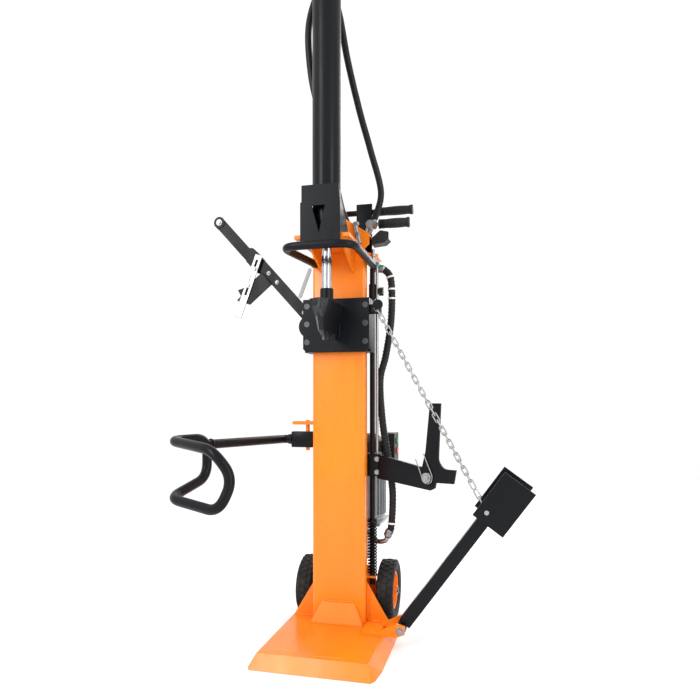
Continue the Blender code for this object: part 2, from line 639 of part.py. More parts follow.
def make_right_arm():
    """Fixed bar with the sprung hook that steadies the log."""
    run = HOOK_PIVOT - ARM_START
    length = hypot(run.x, run.y)
    across = Vector((run.x, run.y, 0)).normalized()
    normal = across.cross(Z)
    outline = [(0, -0.045), (length + 0.004, -0.070), (length + 0.020, -0.062), (length + 0.024, -0.040),
               (length + 0.018, -0.004), (0, 0.038)]
    bar = flat("right_arm", outline, 0.010, ARM_START, across, Z, BLACK)
    foot = box("arm_foot", (TANK_HALF + GAP, 0.0635, 0.527), (0.132, 0.0755, 0.603), BLACK)
    bolt = rod("hook_bolt", HOOK_PIVOT + normal * 0.024, HOOK_PIVOT - normal * 0.012, 0.008, ZINC, 32)
    weld(bar, foot, bolt)

    inside = 0.036
    bend = [(0.074 - inside * sin(a), 0.066 - inside * cos(a)) for a in (pi / 2 * i / 6 for i in range(7))]
    shape = [(-0.022, -0.016), (0.092, -0.014), (0.100, 0.030), *bend, (0.046, 0.240), (0.008, 0.240),
             (-0.008, 0.085), (-0.024, 0.020)]
    hook = to_mesh(flat("log_hook", shape, 0.008, HOOK_PIVOT + normal * 0.0105, across, Z, BLACK))
    hole = rod("hook_hole", HOOK_PIVOT + normal * 0.060, HOOK_PIVOT - normal * 0.060, 0.0084, BLACK, 32)
    boolean(hook, hole, "DIFFERENCE")
    pivot("axis_hook", HOOK_PIVOT, hook)


# ---------------------------------------------------------------- stroke rod and controls

def make_stroke_rod():
    """Sliding rod beside the column that stops the stroke, with its return spring and clamp knob."""
    x, y = STROKE_ROD.x, STROKE_ROD.y
    shaft = rod("stroke_rod", (x, y, 0.150), (x, y, 1.262), 0.009, BLACK)
    clamp = rod("stroke_clamp", (x, y, 1.140), (x, y, 1.190), 0.0125, BLACK)
    seat = rod("spring_seat", (x, y, 0.3655), (x, y, 0.375), 0.017, BLACK)
    shaft = weld(shaft, clamp, seat)
    turns, low, high, wire = 11, 0.1815, 0.3652, 0.0026
    coil = 0.0145
    count = turns * 10
    rise = (high - low - 2 * wire - 0.0012) / count
    start = low + wire + 0.0006
    helix = [(x + coil * cos(2 * pi * i / 10), y + coil * sin(2 * pi * i / 10), start + rise * i)
             for i in range(count + 1)]
    curve_object("return_spring", helix, wire, BLACK, sides=1)
    edge = x + 0.0140             # clear of the wheel beside it
    shelf = [(TANK_HALF + GAP, y - 0.020), (edge, y - 0.020), (edge, y + 0.020),
             (TANK_HALF + GAP, y + 0.020)]
    flat("spring_bracket", shelf, 0.006, (0, 0, 0.178), X, Y, ORANGE, holes=[circle((x, y), 0.0105)])

    at = KNOB_POINT
    petal = []
    for i in range(40):
        angle = 2 * pi * i / 40
        radius = 0.0125 + 0.0028 * cos(5 * angle)
        petal.append((radius * cos(angle), radius * sin(angle)))
    knob = flat("star_knob", petal, 0.016, (at.x + 0.0165, at.y, at.z), Y, Z, PLASTIC)
    stem = rod("knob_stem", (at.x - 0.0015, at.y, at.z), (at.x + 0.012, at.y, at.z), 0.0045, ZINC)
    knob = weld(knob, stem)
    pivot("axis_stroke_rod", (x, y, 0.2), shaft, bpy.data.objects["return_spring"])
    pivot("axis_star_knob", at, knob)


def make_controls():
    slope_low, slope_high = Vector((0.103, 0, 1.349)), Vector((0.024, 0, 1.402))
    shape = [(-0.030, HEAD_HIGH + GAP), (0.085, HEAD_HIGH + GAP), (0.103, 1.315),
             (slope_low.x, slope_low.z), (slope_high.x, slope_high.z), (-0.030, 1.402)]
    plate = flat("control_bracket", shape, 0.005, (0, 0.018, 0), X, Z, ORANGE)
    run = slope_high - slope_low
    shelf = flat("control_shelf", [(0, 0.016), (run.length, 0.016), (run.length, 0.104), (0, 0.104)], 0.004,
                 slope_low - Z * 0.003, run, Y, ORANGE)
    weld(plate, shelf)
    box("control_valve", (0.004, 0.032, HEAD_HIGH + GAP), (0.052, 0.120, 1.372), GREY, 0.003)

    at = CONTROL_PIVOT
    lever = rod("control_lever", (at.x - 0.012, at.y, at.z), (0.236, at.y, at.z), 0.006, ZINC)
    hub = rod("lever_hub", (at.x, at.y - 0.012, at.z), (at.x, at.y + 0.012, at.z), 0.014, ZINC)
    lever = weld(lever, hub)
    grip = ring("lever_grip", (0.181, at.y, at.z), X, 0.0150, 0.0064, 0.106, RUBBER)
    pivot("axis_control_lever", at, lever, grip)
    console = [(0.106, 1.318), (0.150, 1.322), (0.164, 1.334), (0.164, 1.358), (0.134, 1.364), (0.106, 1.340)]
    flat("lever_console", console, 0.050, (0, 0.066, 0), X, Z, PLASTIC)


def make_transport_handle():
    y, z = 0.152, 1.462
    plate = box("transport_handle", (0.033, 0.1280, HEAD_HIGH + GAP), (0.090, 0.1340, 1.486), BLACK)
    bar = rod("handle_bar", (-0.010, y, z), (0.228, y, z), 0.010, BLACK)
    boss = box("handle_boss", (0.040, 0.131, z - 0.012), (0.074, 0.158, z + 0.012), BLACK)
    weld(plate, bar, boss)
    turned("handle_grip", [(0, 0.059), (0.0150, 0.059), (0.0150, -0.066), (0.0103, -0.066), (0.0103, 0.056),
                           (0, 0.056)], (0.1735, y, z), X, RUBBER)


# ---------------------------------------------------------------- hoses, motor and switch

ROD_HOSE = [(0.081, 0.100, 1.372), (0.092, 0.100, 1.400), (0.110, 0.099, 1.4347), (0.130, 0.086, 1.5132),
            (0.101, 0.050, 1.642), (0.069, 0.020, 1.768), (0.038, -0.020, 1.919), (0.015, -0.049, 2.064),
            (-0.014, -0.056, 2.135), (-0.052, -0.058, 2.128), (-0.078, -0.062, 2.060),
            (-0.084, -0.068, 1.976), (-0.075, -0.064, 1.860), (-0.055, -0.060, 1.760),
            (-0.022, -0.062, 1.610), (-0.004, -0.068, 1.480), (0.0, -0.072, 1.405)]
CAP_HOSE = [(0.016, 0.103, 1.3775), (0.007, 0.104, 1.412), (-0.014, 0.100, 1.470), (-0.030, 0.075, 1.580),
            (-0.026, 0.020, 1.720), (-0.012, -0.045, 1.850), (0.004, -0.077, 1.950),
            (0.008, -0.0805, 2.060), (0.004, -0.080, 2.150), (0.0, -0.078, 2.205)]
PRESSURE_HOSE = [(0.118, 0.102, 1.248), (0.136, 0.102, 1.244), (0.158, 0.101, 1.222), (0.166, 0.100, 1.170),
                 (0.163, 0.100, 1.060), (0.145, 0.100, 0.945), (0.125, 0.100, 0.858), (0.132, 0.100, 0.726),
                 (0.148, 0.100, 0.614), (0.166, 0.100, 0.500), (0.169, 0.100, 0.430), (0.163, 0.100, 0.345),
                 (0.150, 0.100, 0.312)]


def make_hoses():
    curve_object("rod_side_hose", smooth_path(ROD_HOSE, 3), 0.0115, RUBBER)
    curve_object("cap_side_hose", smooth_path(CAP_HOSE, 3), 0.0110, RUBBER)
    curve_object("pressure_hose", smooth_path(PRESSURE_HOSE, 3), 0.0145, RUBBER)


def make_motor():
    x, y = MOTOR.x, MOTOR.y
    motor = turned("motor", [(0, 0.600), (MOTOR_RADIUS, 0.600), (MOTOR_RADIUS, 0.347), (0, 0.347)],
                   (x, y, 0), Z, GREY)
    flange = box("motor_plate", (x - 0.085, TANK_BACK + GAP, 0.338), (x + 0.085, y + 0.070, 0.349), GREY)
    weld(motor, flange)
    turned("fan_cover", [(0, 0.662), (0.060, 0.662), (0.088, 0.640), (0.090, 0.6003), (0, 0.6003)],
           (x, y, 0), Z, PLASTIC)
    turned("pump", [(0, 0.3377), (0.045, 0.3377), (0.045, 0.290), (0.032, 0.280), (0.032, 0.200), (0, 0.200)],
           (x, y, 0), Z, CAST)
    low, high = Vector((x + MOTOR_RADIUS + 0.0025, y - 0.045, 0.560)), Vector((0.158, y + 0.045, 0.668))
    housing = box("switch_box", low, high, PLASTIC)
    for name, height, colour in (("start_button", 0.640, GREEN), ("stop_button", 0.602, RED)):
        at = Vector((high.x, y, height))
        hole = rod(f"{name}_well", at - X * 0.012, at + X * 0.010, 0.0125, PLASTIC)
        boolean(housing, hole, "DIFFERENCE")
        button = rod(name, at - X * 0.006, at + X * 0.004, 0.0119, colour)
        pivot(f"axis_{name}", at, button)


make_base_plate()
make_base_rail()
make_rear_foot()
make_column()
make_gussets()
make_wheels()
make_head()
make_cylinder()
make_hoop()
pivot("axis_carriage", (0, CYL_Y, PLATE_LOW), *make_carriage())
make_lifter()
make_chain()
make_left_lever()
make_catch_arm()
make_right_arm()
make_stroke_rod()
make_controls()
make_transport_handle()
make_hoses()
make_motor()
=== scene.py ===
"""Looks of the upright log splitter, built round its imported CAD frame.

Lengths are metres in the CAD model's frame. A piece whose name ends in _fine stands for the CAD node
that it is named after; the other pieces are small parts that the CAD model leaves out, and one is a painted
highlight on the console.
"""

import json
from math import cos, pi, radians, sin

import bmesh
import bpy
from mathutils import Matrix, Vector

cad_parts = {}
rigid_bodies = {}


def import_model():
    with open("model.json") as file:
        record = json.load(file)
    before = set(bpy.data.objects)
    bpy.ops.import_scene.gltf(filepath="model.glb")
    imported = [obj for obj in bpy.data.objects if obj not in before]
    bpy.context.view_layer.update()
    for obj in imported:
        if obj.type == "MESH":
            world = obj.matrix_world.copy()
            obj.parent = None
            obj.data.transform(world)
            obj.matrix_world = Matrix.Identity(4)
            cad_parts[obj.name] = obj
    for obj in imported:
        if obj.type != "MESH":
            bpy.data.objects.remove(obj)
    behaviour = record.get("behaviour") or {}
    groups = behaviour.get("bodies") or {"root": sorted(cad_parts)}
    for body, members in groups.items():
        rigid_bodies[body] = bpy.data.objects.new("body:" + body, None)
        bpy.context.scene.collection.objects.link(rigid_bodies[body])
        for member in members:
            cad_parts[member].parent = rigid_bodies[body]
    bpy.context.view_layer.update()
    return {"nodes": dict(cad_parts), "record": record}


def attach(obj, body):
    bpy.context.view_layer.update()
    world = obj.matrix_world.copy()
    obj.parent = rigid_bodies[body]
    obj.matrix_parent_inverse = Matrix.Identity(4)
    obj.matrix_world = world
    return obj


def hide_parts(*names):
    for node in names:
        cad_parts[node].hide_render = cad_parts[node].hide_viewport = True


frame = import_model()
NODES = frame["nodes"]
BODY_OF = {node: body for body, nodes in frame["record"]["behaviour"]["bodies"].items() for node in nodes}
SLOT_OF = {entry["node"]: entry["material_slot"] for entry in frame["record"]["subparts"]}
X, Y, Z = Vector((1, 0, 0)), Vector((0, 1, 0)), Vector((0, 0, 1))
SIDES = ((-1, "left"), (1, "right"))


# ---------------------------------------------------------------- camera, light and floor

SENSOR_MM, LENS_MM, SHIFT_UP = 36.0, 31.2, 0.073
CAMERA_AT, CAMERA_YAW = (0.531, -1.980, 0.785), 13.9
WORLD_STRENGTH = 1.05
FLOOR_SIZE, FLOOR_DROP, FLOOR_WHITE = 14, 0.0005, 0.95
LIGHTS = (  # name, place, target, size, watts
    ("key", (-1.5, -2.6, 2.4), (0, 0, 1.0), (0.9, 2.4), 55),
    ("fill", (2.4, -1.6, 1.6), (0, 0, 0.9), (0.7, 2.4), 30),
    ("back", (0.5, 2.6, 2.4), (0, 0, 1.0), (2.0, 2.0), 40),
)


def make_camera():
    data = bpy.data.cameras.new("camera")
    data.sensor_width = SENSOR_MM
    data.lens = LENS_MM
    data.shift_y = SHIFT_UP
    camera = bpy.data.objects.new("camera", data)
    camera.location = CAMERA_AT
    camera.rotation_euler = (radians(90), 0, radians(CAMERA_YAW))
    bpy.context.scene.collection.objects.link(camera)
    bpy.context.scene.camera = camera


def area_light(name, where, target, size, power):
    data = bpy.data.lights.new(name, "AREA")
    data.shape = "RECTANGLE"
    data.size, data.size_y = size
    data.energy = power
    light = bpy.data.objects.new(name, data)
    light.location = where
    light.rotation_euler = (Vector(target) - Vector(where)).to_track_quat("-Z", "Y").to_euler()
    bpy.context.scene.collection.objects.link(light)


def make_studio():
    """A white world, three soft lights and a pale matt floor."""
    world = bpy.data.worlds.new("studio")
    bpy.context.scene.world = world
    world.use_nodes = True
    background = world.node_tree.nodes["Background"]
    background.inputs["Color"].default_value = (1.0, 1.0, 1.0, 1.0)
    background.inputs["Strength"].default_value = WORLD_STRENGTH
    for light in LIGHTS:
        area_light(*light)
    bpy.ops.mesh.primitive_plane_add(size=FLOOR_SIZE, location=(0, 0, -FLOOR_DROP))
    floor = bpy.context.object
    floor.name = "floor"
    material = bpy.data.materials.new("floor")
    material.use_nodes = True
    shader = material.node_tree.nodes["Principled BSDF"]
    shader.inputs["Base Color"].default_value = (FLOOR_WHITE, FLOOR_WHITE, FLOOR_WHITE, 1)
    shader.inputs["Roughness"].default_value = 0.8
    floor.data.materials.append(material)


bpy.context.scene.view_settings.view_transform = "Standard"
make_camera()
make_studio()


# ---------------------------------------------------------------- materials

COAT_ROUGHNESS = 0.12


class Surface:
    """A Principled material whose colour, roughness and bump come from noise laid over the piece."""

    def __init__(self, name, colour, roughness, metallic=0.0, coat=0.0, specular=0.5):
        self.material = bpy.data.materials.new(name)
        self.material.use_nodes = True
        self.tree = self.material.node_tree
        self.shader = self.tree.nodes["Principled BSDF"]
        self.place = self.tree.nodes.new("ShaderNodeTexCoord").outputs["Object"]
        self.shader.inputs["Metallic"].default_value = metallic
        self.shader.inputs["Coat Weight"].default_value = coat
        self.shader.inputs["Coat Roughness"].default_value = COAT_ROUGHNESS
        self.shader.inputs["Specular IOR Level"].default_value = specular
        self.shader.inputs["Roughness"].default_value = roughness
        self.shader.inputs["Base Color"].default_value = (*colour, 1)
        self.base = colour
        self.colour = None
        self.normal = None

    def node(self, kind, **settings):
        made = self.tree.nodes.new(kind)
        for key, value in settings.items():
            setattr(made, key, value)
        return made

    def join(self, output, target):
        self.tree.links.new(output, target)

    def noise(self, scale, detail, stretch=(1, 1, 1)):
        mapping = self.node("ShaderNodeMapping")
        mapping.inputs["Scale"].default_value = stretch
        texture = self.node("ShaderNodeTexNoise")
        texture.inputs["Scale"].default_value = scale
        texture.inputs["Detail"].default_value = detail
        self.join(self.place, mapping.inputs["Vector"])
        self.join(mapping.outputs["Vector"], texture.inputs["Vector"])
        return texture.outputs["Fac"]

    def span(self, value, low, high, to_low, to_high):
        """Map a value from one range to another, clamped."""
        made = self.node("ShaderNodeMapRange")
        for socket, number in zip(("From Min", "From Max", "To Min", "To Max"), (low, high, to_low, to_high)):
            made.inputs[socket].default_value = number
        self.join(value, made.inputs["Value"])
        return made.outputs["Result"]

    def math(self, operation, a, b):
        made = self.node("ShaderNodeMath", operation=operation)
        for socket, value in zip(made.inputs, (a, b)):
            if isinstance(value, (int, float)):
                socket.default_value = value
            else:
                self.join(value, socket)
        return made.outputs["Value"]

    def tint(self, factor, colour):
        """Mix another colour over what is there, by a factor."""
        mix = self.node("ShaderNodeMix", data_type="RGBA")
        under, over, mixed = mix.inputs[6], mix.inputs[7], mix.outputs[2]  # the node's colour sockets
        self.join(factor, mix.inputs["Factor"])
        if self.colour is None:
            under.default_value = (*self.base, 1)
        else:
            self.join(self.colour, under)
        over.default_value = (*colour, 1)
        self.colour = mixed
        self.join(mixed, self.shader.inputs["Base Color"])

    def rough(self, value):
        self.join(value, self.shader.inputs["Roughness"])

    def bump(self, height, distance, strength=1.0):
        """Add a layer of relief over any that is there."""
        made = self.node("ShaderNodeBump")
        made.inputs["Strength"].default_value = strength
        made.inputs["Distance"].default_value = distance
        self.join(height, made.inputs["Height"])
        if self.normal is not None:
            self.join(self.normal, made.inputs["Normal"])
        self.normal = made.outputs["Normal"]
        self.join(self.normal, self.shader.inputs["Normal"])


def paint(name, colour, dark, roughness, coat, peel=0.00010, specular=0.5, dust=(0.5, 0.45, 0.4), dusty=0.06):
    """Sprayed enamel: faint runs of a darker shade, fine dust, soft patches of gloss, orange-peel ripple."""
    s = Surface(name, colour, roughness, coat=coat, specular=specular)
    s.tint(s.span(s.noise(7, 4, (1, 1, 0.35)), 0.35, 0.72, 0.0, 0.55), dark)
    s.tint(s.span(s.noise(240, 6), 0.60, 0.85, 0.0, dusty), dust)
    s.rough(s.span(s.noise(18, 5, (1, 1, 0.4)), 0.3, 0.7, roughness - 0.07, roughness + 0.10))
    s.bump(s.noise(420, 2), peel)
    s.bump(s.noise(45, 2), peel * 2.2, 0.6)
    return s


def metal(name, colour, dark, roughness, brushed=(1, 1, 1), grain=0.00004):
    """Bare or plated metal: duller patches, a fine grain and uneven polish."""
    s = Surface(name, colour, roughness, metallic=1.0)
    s.tint(s.span(s.noise(26, 5), 0.35, 0.75, 0.0, 0.6), dark)
    s.rough(s.span(s.noise(60, 4, brushed), 0.3, 0.7, max(0.04, roughness - 0.08), roughness + 0.10))
    s.bump(s.noise(500, 2, brushed), grain)
    return s


def rubber(name, colour, grey, roughness, grain=0.00010):
    """Rubber or moulded plastic: soft patches of a second shade, uneven gloss and a fine pebbled skin."""
    s = Surface(name, colour, roughness, specular=0.25)
    s.tint(s.span(s.noise(14, 5), 0.4, 0.8, 0.0, 0.5), grey)
    s.rough(s.span(s.noise(40, 4), 0.3, 0.7, roughness - 0.08, roughness + 0.10))
    s.bump(s.noise(700, 3), grain)
    return s


GREY_DUST = (0.08, 0.08, 0.08)
SURFACES = {
    "orange": paint("orange_enamel", (0.92, 0.225, 0.004), (0.80, 0.165, 0.003), 0.30, 0.22, specular=0.35),
    "black": paint("black_enamel", (0.0030, 0.0036, 0.0052), (0.0065, 0.0075, 0.0100), 0.34, 0.03,
                   specular=0.15, dust=GREY_DUST),
    "grey": paint("grey_enamel", (0.33, 0.35, 0.36), (0.25, 0.27, 0.28), 0.40, 0.2),
    "chrome": metal("hard_chrome", (0.50, 0.51, 0.53), (0.36, 0.37, 0.39), 0.14, brushed=(1, 1, 8)),
    "zinc": metal("zinc_plating", (0.40, 0.40, 0.395), (0.25, 0.255, 0.26), 0.38),
    "oxide": metal("blackened_steel", (0.085, 0.088, 0.095), (0.045, 0.047, 0.052), 0.34),
    "cast": metal("cast_aluminium", (0.55, 0.55, 0.55), (0.42, 0.42, 0.43), 0.52, grain=0.0004),
    "hose": rubber("hose_cover", (0.006, 0.006, 0.007), (0.018, 0.018, 0.019), 0.46),
    "grip": rubber("grip_rubber", (0.010, 0.010, 0.010), (0.024, 0.024, 0.025), 0.58, 0.00018),
    "tyre": rubber("tyre_rubber", (0.013, 0.013, 0.013), (0.045, 0.043, 0.040), 0.66, 0.00035),
    "plastic": rubber("moulded_plastic", (0.014, 0.014, 0.015), (0.022, 0.022, 0.023), 0.42, 0.00012),
    # pale grey that paints the highlight on the console's black sheet box; the box itself is black
    "pale": rubber("painted_highlight_grey", (0.48, 0.49, 0.50), (0.40, 0.41, 0.42), 0.42),
    "white": rubber("white_tie", (0.78, 0.77, 0.73), (0.62, 0.61, 0.58), 0.45),
    "green": rubber("green_button", (0.010, 0.25, 0.045), (0.008, 0.19, 0.035), 0.35, 0.00008),
    "red": rubber("red_button", (0.50, 0.012, 0.010), (0.38, 0.010, 0.009), 0.35, 0.00008),
    "teal": paint("teal_cap", (0.02, 0.30, 0.28), (0.015, 0.22, 0.21), 0.35, 0.3, peel=0.00008),
}
FINISH_OF = {  # the record's material slot: the finish that its CAD nodes get
    "orange_paint": "orange", "black_paint": "black", "grey_paint": "grey", "chrome": "chrome",
    "zinc_plate": "zinc", "cast_aluminium": "cast", "hose_rubber": "hose", "grip_rubber": "grip",
    "tyre_rubber": "tyre", "black_plastic": "plastic", "green_plastic": "green", "red_plastic": "red",
}
SLOT = {finish: slot for slot, finish in FINISH_OF.items()}
SLOT.update(oxide="black_paint", pale="black_plastic", white="black_plastic", teal="grey_paint")


# ---------------------------------------------------------------- pieces

MERGE, FLAT_DEGREES, EDGE = 0.00002, 0.6, 0.0012


def piece(name, shape, finish, body, *nodes, sharp=35, bevel=0.0, segments=2):
    """A new mesh with its finish, the body it rides on and the CAD nodes it stands for."""
    mesh = bpy.data.meshes.new(name)
    bmesh.ops.recalc_face_normals(shape, faces=shape.faces)
    shape.to_mesh(mesh)
    shape.free()
    mesh.polygons.foreach_set("use_smooth", [True] * len(mesh.polygons))
    mesh.set_sharp_from_angle(angle=radians(sharp))
    mesh.materials.append(SURFACES[finish].material)
    obj = bpy.data.objects.new(name, mesh)
    bpy.context.scene.collection.objects.link(obj)
    if bevel:
        rounding = obj.modifiers.new("rounding", "BEVEL")
        rounding.width = bevel
        rounding.segments = segments
        rounding.limit_method = "ANGLE"
        rounding.angle_limit = radians(sharp)
        rounding.harden_normals = True
    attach(obj, body)
    if nodes:
        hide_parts(*nodes)
    return obj


def refine(node):
    """The CAD node's own shape with clean faces, rounded edges and its finish."""
    shape = bmesh.new()
    shape.from_mesh(NODES[node].data)
    bmesh.ops.remove_doubles(shape, verts=shape.verts, dist=MERGE)
    bmesh.ops.dissolve_limit(shape, angle_limit=radians(FLAT_DEGREES), verts=shape.verts, edges=shape.edges)
    piece(f"{node}_fine", shape, FINISH_OF[SLOT_OF[node]], BODY_OF[node], node, bevel=EDGE)


def turns(count):
    """The angles of even steps round a circle."""
    return [2 * pi * i / count for i in range(count)]


def circle(centre, across, other, radius, count):
    """Points round a circle in the plane of two unit vectors."""
    return [centre + radius * (across * cos(a) + other * sin(a)) for a in turns(count)]


def frame_of(axis, hint=None):
    """An axis and two unit vectors square to it and to each other."""
    axis = Vector(axis).normalized()
    across = axis.cross(hint or (Y if abs(axis.y) < 0.9 else X)).normalized()
    return axis, across, axis.cross(across)


def join_loops(shape, first, second):
    """Add the wall between two loops of as many points."""
    for i in range(len(first)):
        j = (i + 1) % len(first)
        shape.faces.new((first[i], first[j], second[j], second[i]))


def sweep(shape, points, radius, sides, cyclic=False):
    """Add a round tube along points; radius is a number or one number for each point."""
    points = [Vector(p) for p in points]
    count = len(points)
    radii = radius if isinstance(radius, list) else [radius] * count
    across = None
    rings = []
    for i, point in enumerate(points):
        ahead = points[(i + 1) % count] if cyclic or i + 1 < count else point
        behind = points[i - 1] if cyclic or i else point
        tangent = (ahead - behind).normalized()
        if across is None:
            across = frame_of(tangent)[1]
        across = (across - tangent * across.dot(tangent)).normalized()
        around = circle(point, across, tangent.cross(across), radii[i], sides)
        rings.append([shape.verts.new(p) for p in around])
    pairs = list(zip(rings, rings[1:]))
    if cyclic:
        first, last = rings[0], rings[-1]
        shift = min(range(sides), key=lambda k: (first[k].co - last[0].co).length)
        pairs.append((last, first[shift:] + first[:shift]))
    for low, high in pairs:
        join_loops(shape, low, high)
    if not cyclic:
        shape.faces.new(rings[0][::-1])
        shape.faces.new(rings[-1])


def lathe(shape, profile, origin, axis, sides):
    """Add a turned form; the profile is (radius, height) pairs from one end round to the other."""
    axis, across, other = frame_of(axis)
    rings = []
    for radius, height in profile:
        middle = Vector(origin) + axis * height
        points = circle(middle, across, other, radius, sides) if radius else [middle]
        rings.append([shape.verts.new(p) for p in points])
    pairs = list(zip(rings, rings[1:]))
    if profile[0][0] and profile[-1][0]:
        pairs.append((rings[-1], rings[0]))
    for low, high in pairs:
        for k in range(sides):
            j = (k + 1) % sides
            corners = (low[k % len(low)], low[j % len(low)], high[j % len(high)], high[k % len(high)])
            corners = list(dict.fromkeys(corners))
            if len(corners) > 2:
                shape.faces.new(corners)


def slab(shape, outline, thickness, origin, across, up):
    """Add a plate with the outline's form, half its thickness to each side of the origin."""
    across, up = Vector(across).normalized(), Vector(up).normalized()
    normal = across.cross(up)
    back, front = ([shape.verts.new(Vector(origin) + across * a + up * b + normal * side * thickness / 2)
                    for a, b in outline] for side in (-1, 1))
    shape.faces.new(back[::-1])
    shape.faces.new(front)
    join_loops(shape, back, front)


def block(shape, low, high):
    """Add a box between two corners."""
    low, high = Vector(low), Vector(high)
    half = (high - low) / 2
    slab(shape, [(-half.x, -half.z), (half.x, -half.z), (half.x, half.z), (-half.x, half.z)],
         2 * half.y, (low + high) / 2, X, Z)


def hexagon(shape, where, axis, radius, height):
    """Add a chamfered six-sided head or nut that stands on a surface."""
    lathe(shape, [(0, 0), (radius, 0), (radius, height * 0.82), (radius * 0.86, height), (0, height)],
          where, axis, 6)


def washer(shape, where, axis, radius, height):
    """Add a round plate with a chamfered edge that lies on a surface."""
    lathe(shape, [(0, 0), (radius, 0), (radius, height * 0.7), (radius - height * 0.3, height), (0, height)],
          where, axis, 32)


def bolt(shape, where, axis, plate, head):
    """Add a washer and the hexagon head on it, each a (radius, height) pair."""
    washer(shape, where, axis, *plate)
    hexagon(shape, Vector(where) + axis * plate[1], axis, *head)


def weld_bead(name, points, radius, finish="orange", body="frame"):
    """A run of overlapping weld ripples along a seam."""
    spacing, ripple, period = 0.0016, 0.16, 3.0
    path, radii = [], []
    points = [Vector(p) for p in points]
    for start, end in zip(points, points[1:]):
        steps = max(2, int((end - start).length / spacing))
        for i in range(steps):
            path.append(start.lerp(end, i / steps))
            radii.append(radius * (1 + ripple * sin(2 * pi * i / period)))
    path.append(points[-1])
    radii.append(radius)
    shape = bmesh.new()
    sweep(shape, path, radii, 8)
    piece(name, shape, finish, body, sharp=60)


def smooth_path(points, per_span):
    """Points of a Catmull-Rom curve through the given points."""
    points = [Vector(p) for p in points]
    ends = [2 * points[0] - points[1]] + points + [2 * points[-1] - points[-2]]
    path = []
    for i in range(1, len(ends) - 2):
        a, b, c, d = ends[i - 1:i + 3]
        for step in range(per_span):
            t = step / per_span
            path.append(0.5 * (2 * b + (c - a) * t + (2 * a - 5 * b + 4 * c - d) * t * t
                               + (3 * b - a - 3 * c + d) * t ** 3))
    path.append(points[-1])
    return path


def rounded_path(points, radius, steps, cyclic=False):
    """Straight runs joined by bends of about the given radius, as a bent tube has."""
    points = [Vector(p) for p in points]
    count = len(points)
    path = []
    for i, corner in enumerate(points):
        if not cyclic and i in (0, count - 1):
            path.append(corner)
            continue
        before = points[i - 1] - corner
        after = points[(i + 1) % count] - corner
        reach = min(radius, before.length * 0.45, after.length * 0.45)
        start = corner + before.normalized() * reach
        end = corner + after.normalized() * reach
        for step in range(steps + 1):
            t = step / steps
            path.append((1 - t) ** 2 * start + 2 * t * (1 - t) * corner + t * t * end)
    return path


# ---------------------------------------------------------------- tubes, hoses, spring and chain

# The routes repeat the CAD model's, whose solids these tubes stand for.
HOSE_Y, CATCH_Z = 0.100, 0.649
HOSES = (  # node, route, radius
    ("rod_side_hose",
     ((0.081, 0.100, 1.372), (0.092, 0.100, 1.400), (0.110, 0.099, 1.4347), (0.130, 0.086, 1.5132),
      (0.101, 0.050, 1.642), (0.069, 0.020, 1.768), (0.038, -0.020, 1.919), (0.015, -0.049, 2.064),
      (-0.014, -0.056, 2.135), (-0.052, -0.058, 2.128), (-0.078, -0.062, 2.060), (-0.084, -0.068, 1.976),
      (-0.075, -0.064, 1.860), (-0.055, -0.060, 1.760), (-0.022, -0.062, 1.610), (-0.004, -0.068, 1.480),
      (0.0, -0.072, 1.405)), 0.0112),
    ("cap_side_hose",
     ((0.016, 0.103, 1.3775), (0.007, 0.104, 1.412), (-0.014, 0.100, 1.470), (-0.030, 0.075, 1.580),
      (-0.026, 0.020, 1.720), (-0.012, -0.045, 1.850), (0.004, -0.077, 1.950), (0.008, -0.0805, 2.060),
      (0.004, -0.080, 2.150), (0.0, -0.078, 2.205)), 0.0107),
)
PRESSURE_HOSE = ((0.118, 0.102, 1.248), (0.136, 0.102, 1.244), (0.158, 0.101, 1.222),
                 (0.166, HOSE_Y, 1.170), (0.163, HOSE_Y, 1.060), (0.145, HOSE_Y, 0.945),
                 (0.125, HOSE_Y, 0.858), (0.132, HOSE_Y, 0.726), (0.148, HOSE_Y, 0.614),
                 (0.166, HOSE_Y, 0.500), (0.169, HOSE_Y, 0.430), (0.163, HOSE_Y, 0.345),
                 (0.150, HOSE_Y, 0.312))
PRESSURE_PIPE = ((0.150, HOSE_Y, 0.318), (0.147, HOSE_Y, 0.300), (0.120, 0.105, 0.292),
                 (0.078, 0.150, 0.300), (0.060, 0.205, 0.300))
PRESSURE_RADIUS, WRAP_AT, WRAP_RADIUS, WRAP_PITCH, WRAP_STEPS = 0.0118, 0.0119, 0.0016, 0.0125, 6
TIE_HEIGHTS = (1.215, 1.172, 1.140, 0.360)

GUARD_HOOP = ((-0.079, -0.003), (-0.112, -0.251), (0.112, -0.251), (0.107, 0.060))
GUARD_Z, GUARD_RADIUS = 1.2505, 0.0125
ARM_ROOT = Vector((-0.192, 0.085, CATCH_Z))
ARM_BEND = Vector((-0.222, 0.085, CATCH_Z))
ARM_END = Vector((-0.360, -0.243, CATCH_Z))
GRAB_LOOP = ((-0.360, -0.243, 0.548), (-0.360, -0.243, 0.670), (-0.417, -0.365, 0.668),
             (-0.227, -0.472, 0.652), (-0.170, -0.462, 0.575), (-0.205, -0.480, 0.485),
             (-0.392, -0.410, 0.505))
ARM_RADIUS = 0.015

STROKE_X, STROKE_Y = 0.100, 0.0855
SPRING_LOW, SPRING_HIGH, SPRING_TURNS = 0.1815, 0.3652, 17
SPRING_WIRE, SPRING_COIL = 0.0025, 0.0146

CHAIN_TOP = Vector((0.138, -0.030, 1.090))
CHAIN_END = Vector((0.492, -0.100, 0.451))
CHAIN_SHORT = 0.070
LINK_PITCH, LINK_WIRE, LINK_HALF_WIDTH = 0.0232, 0.0023, 0.0066


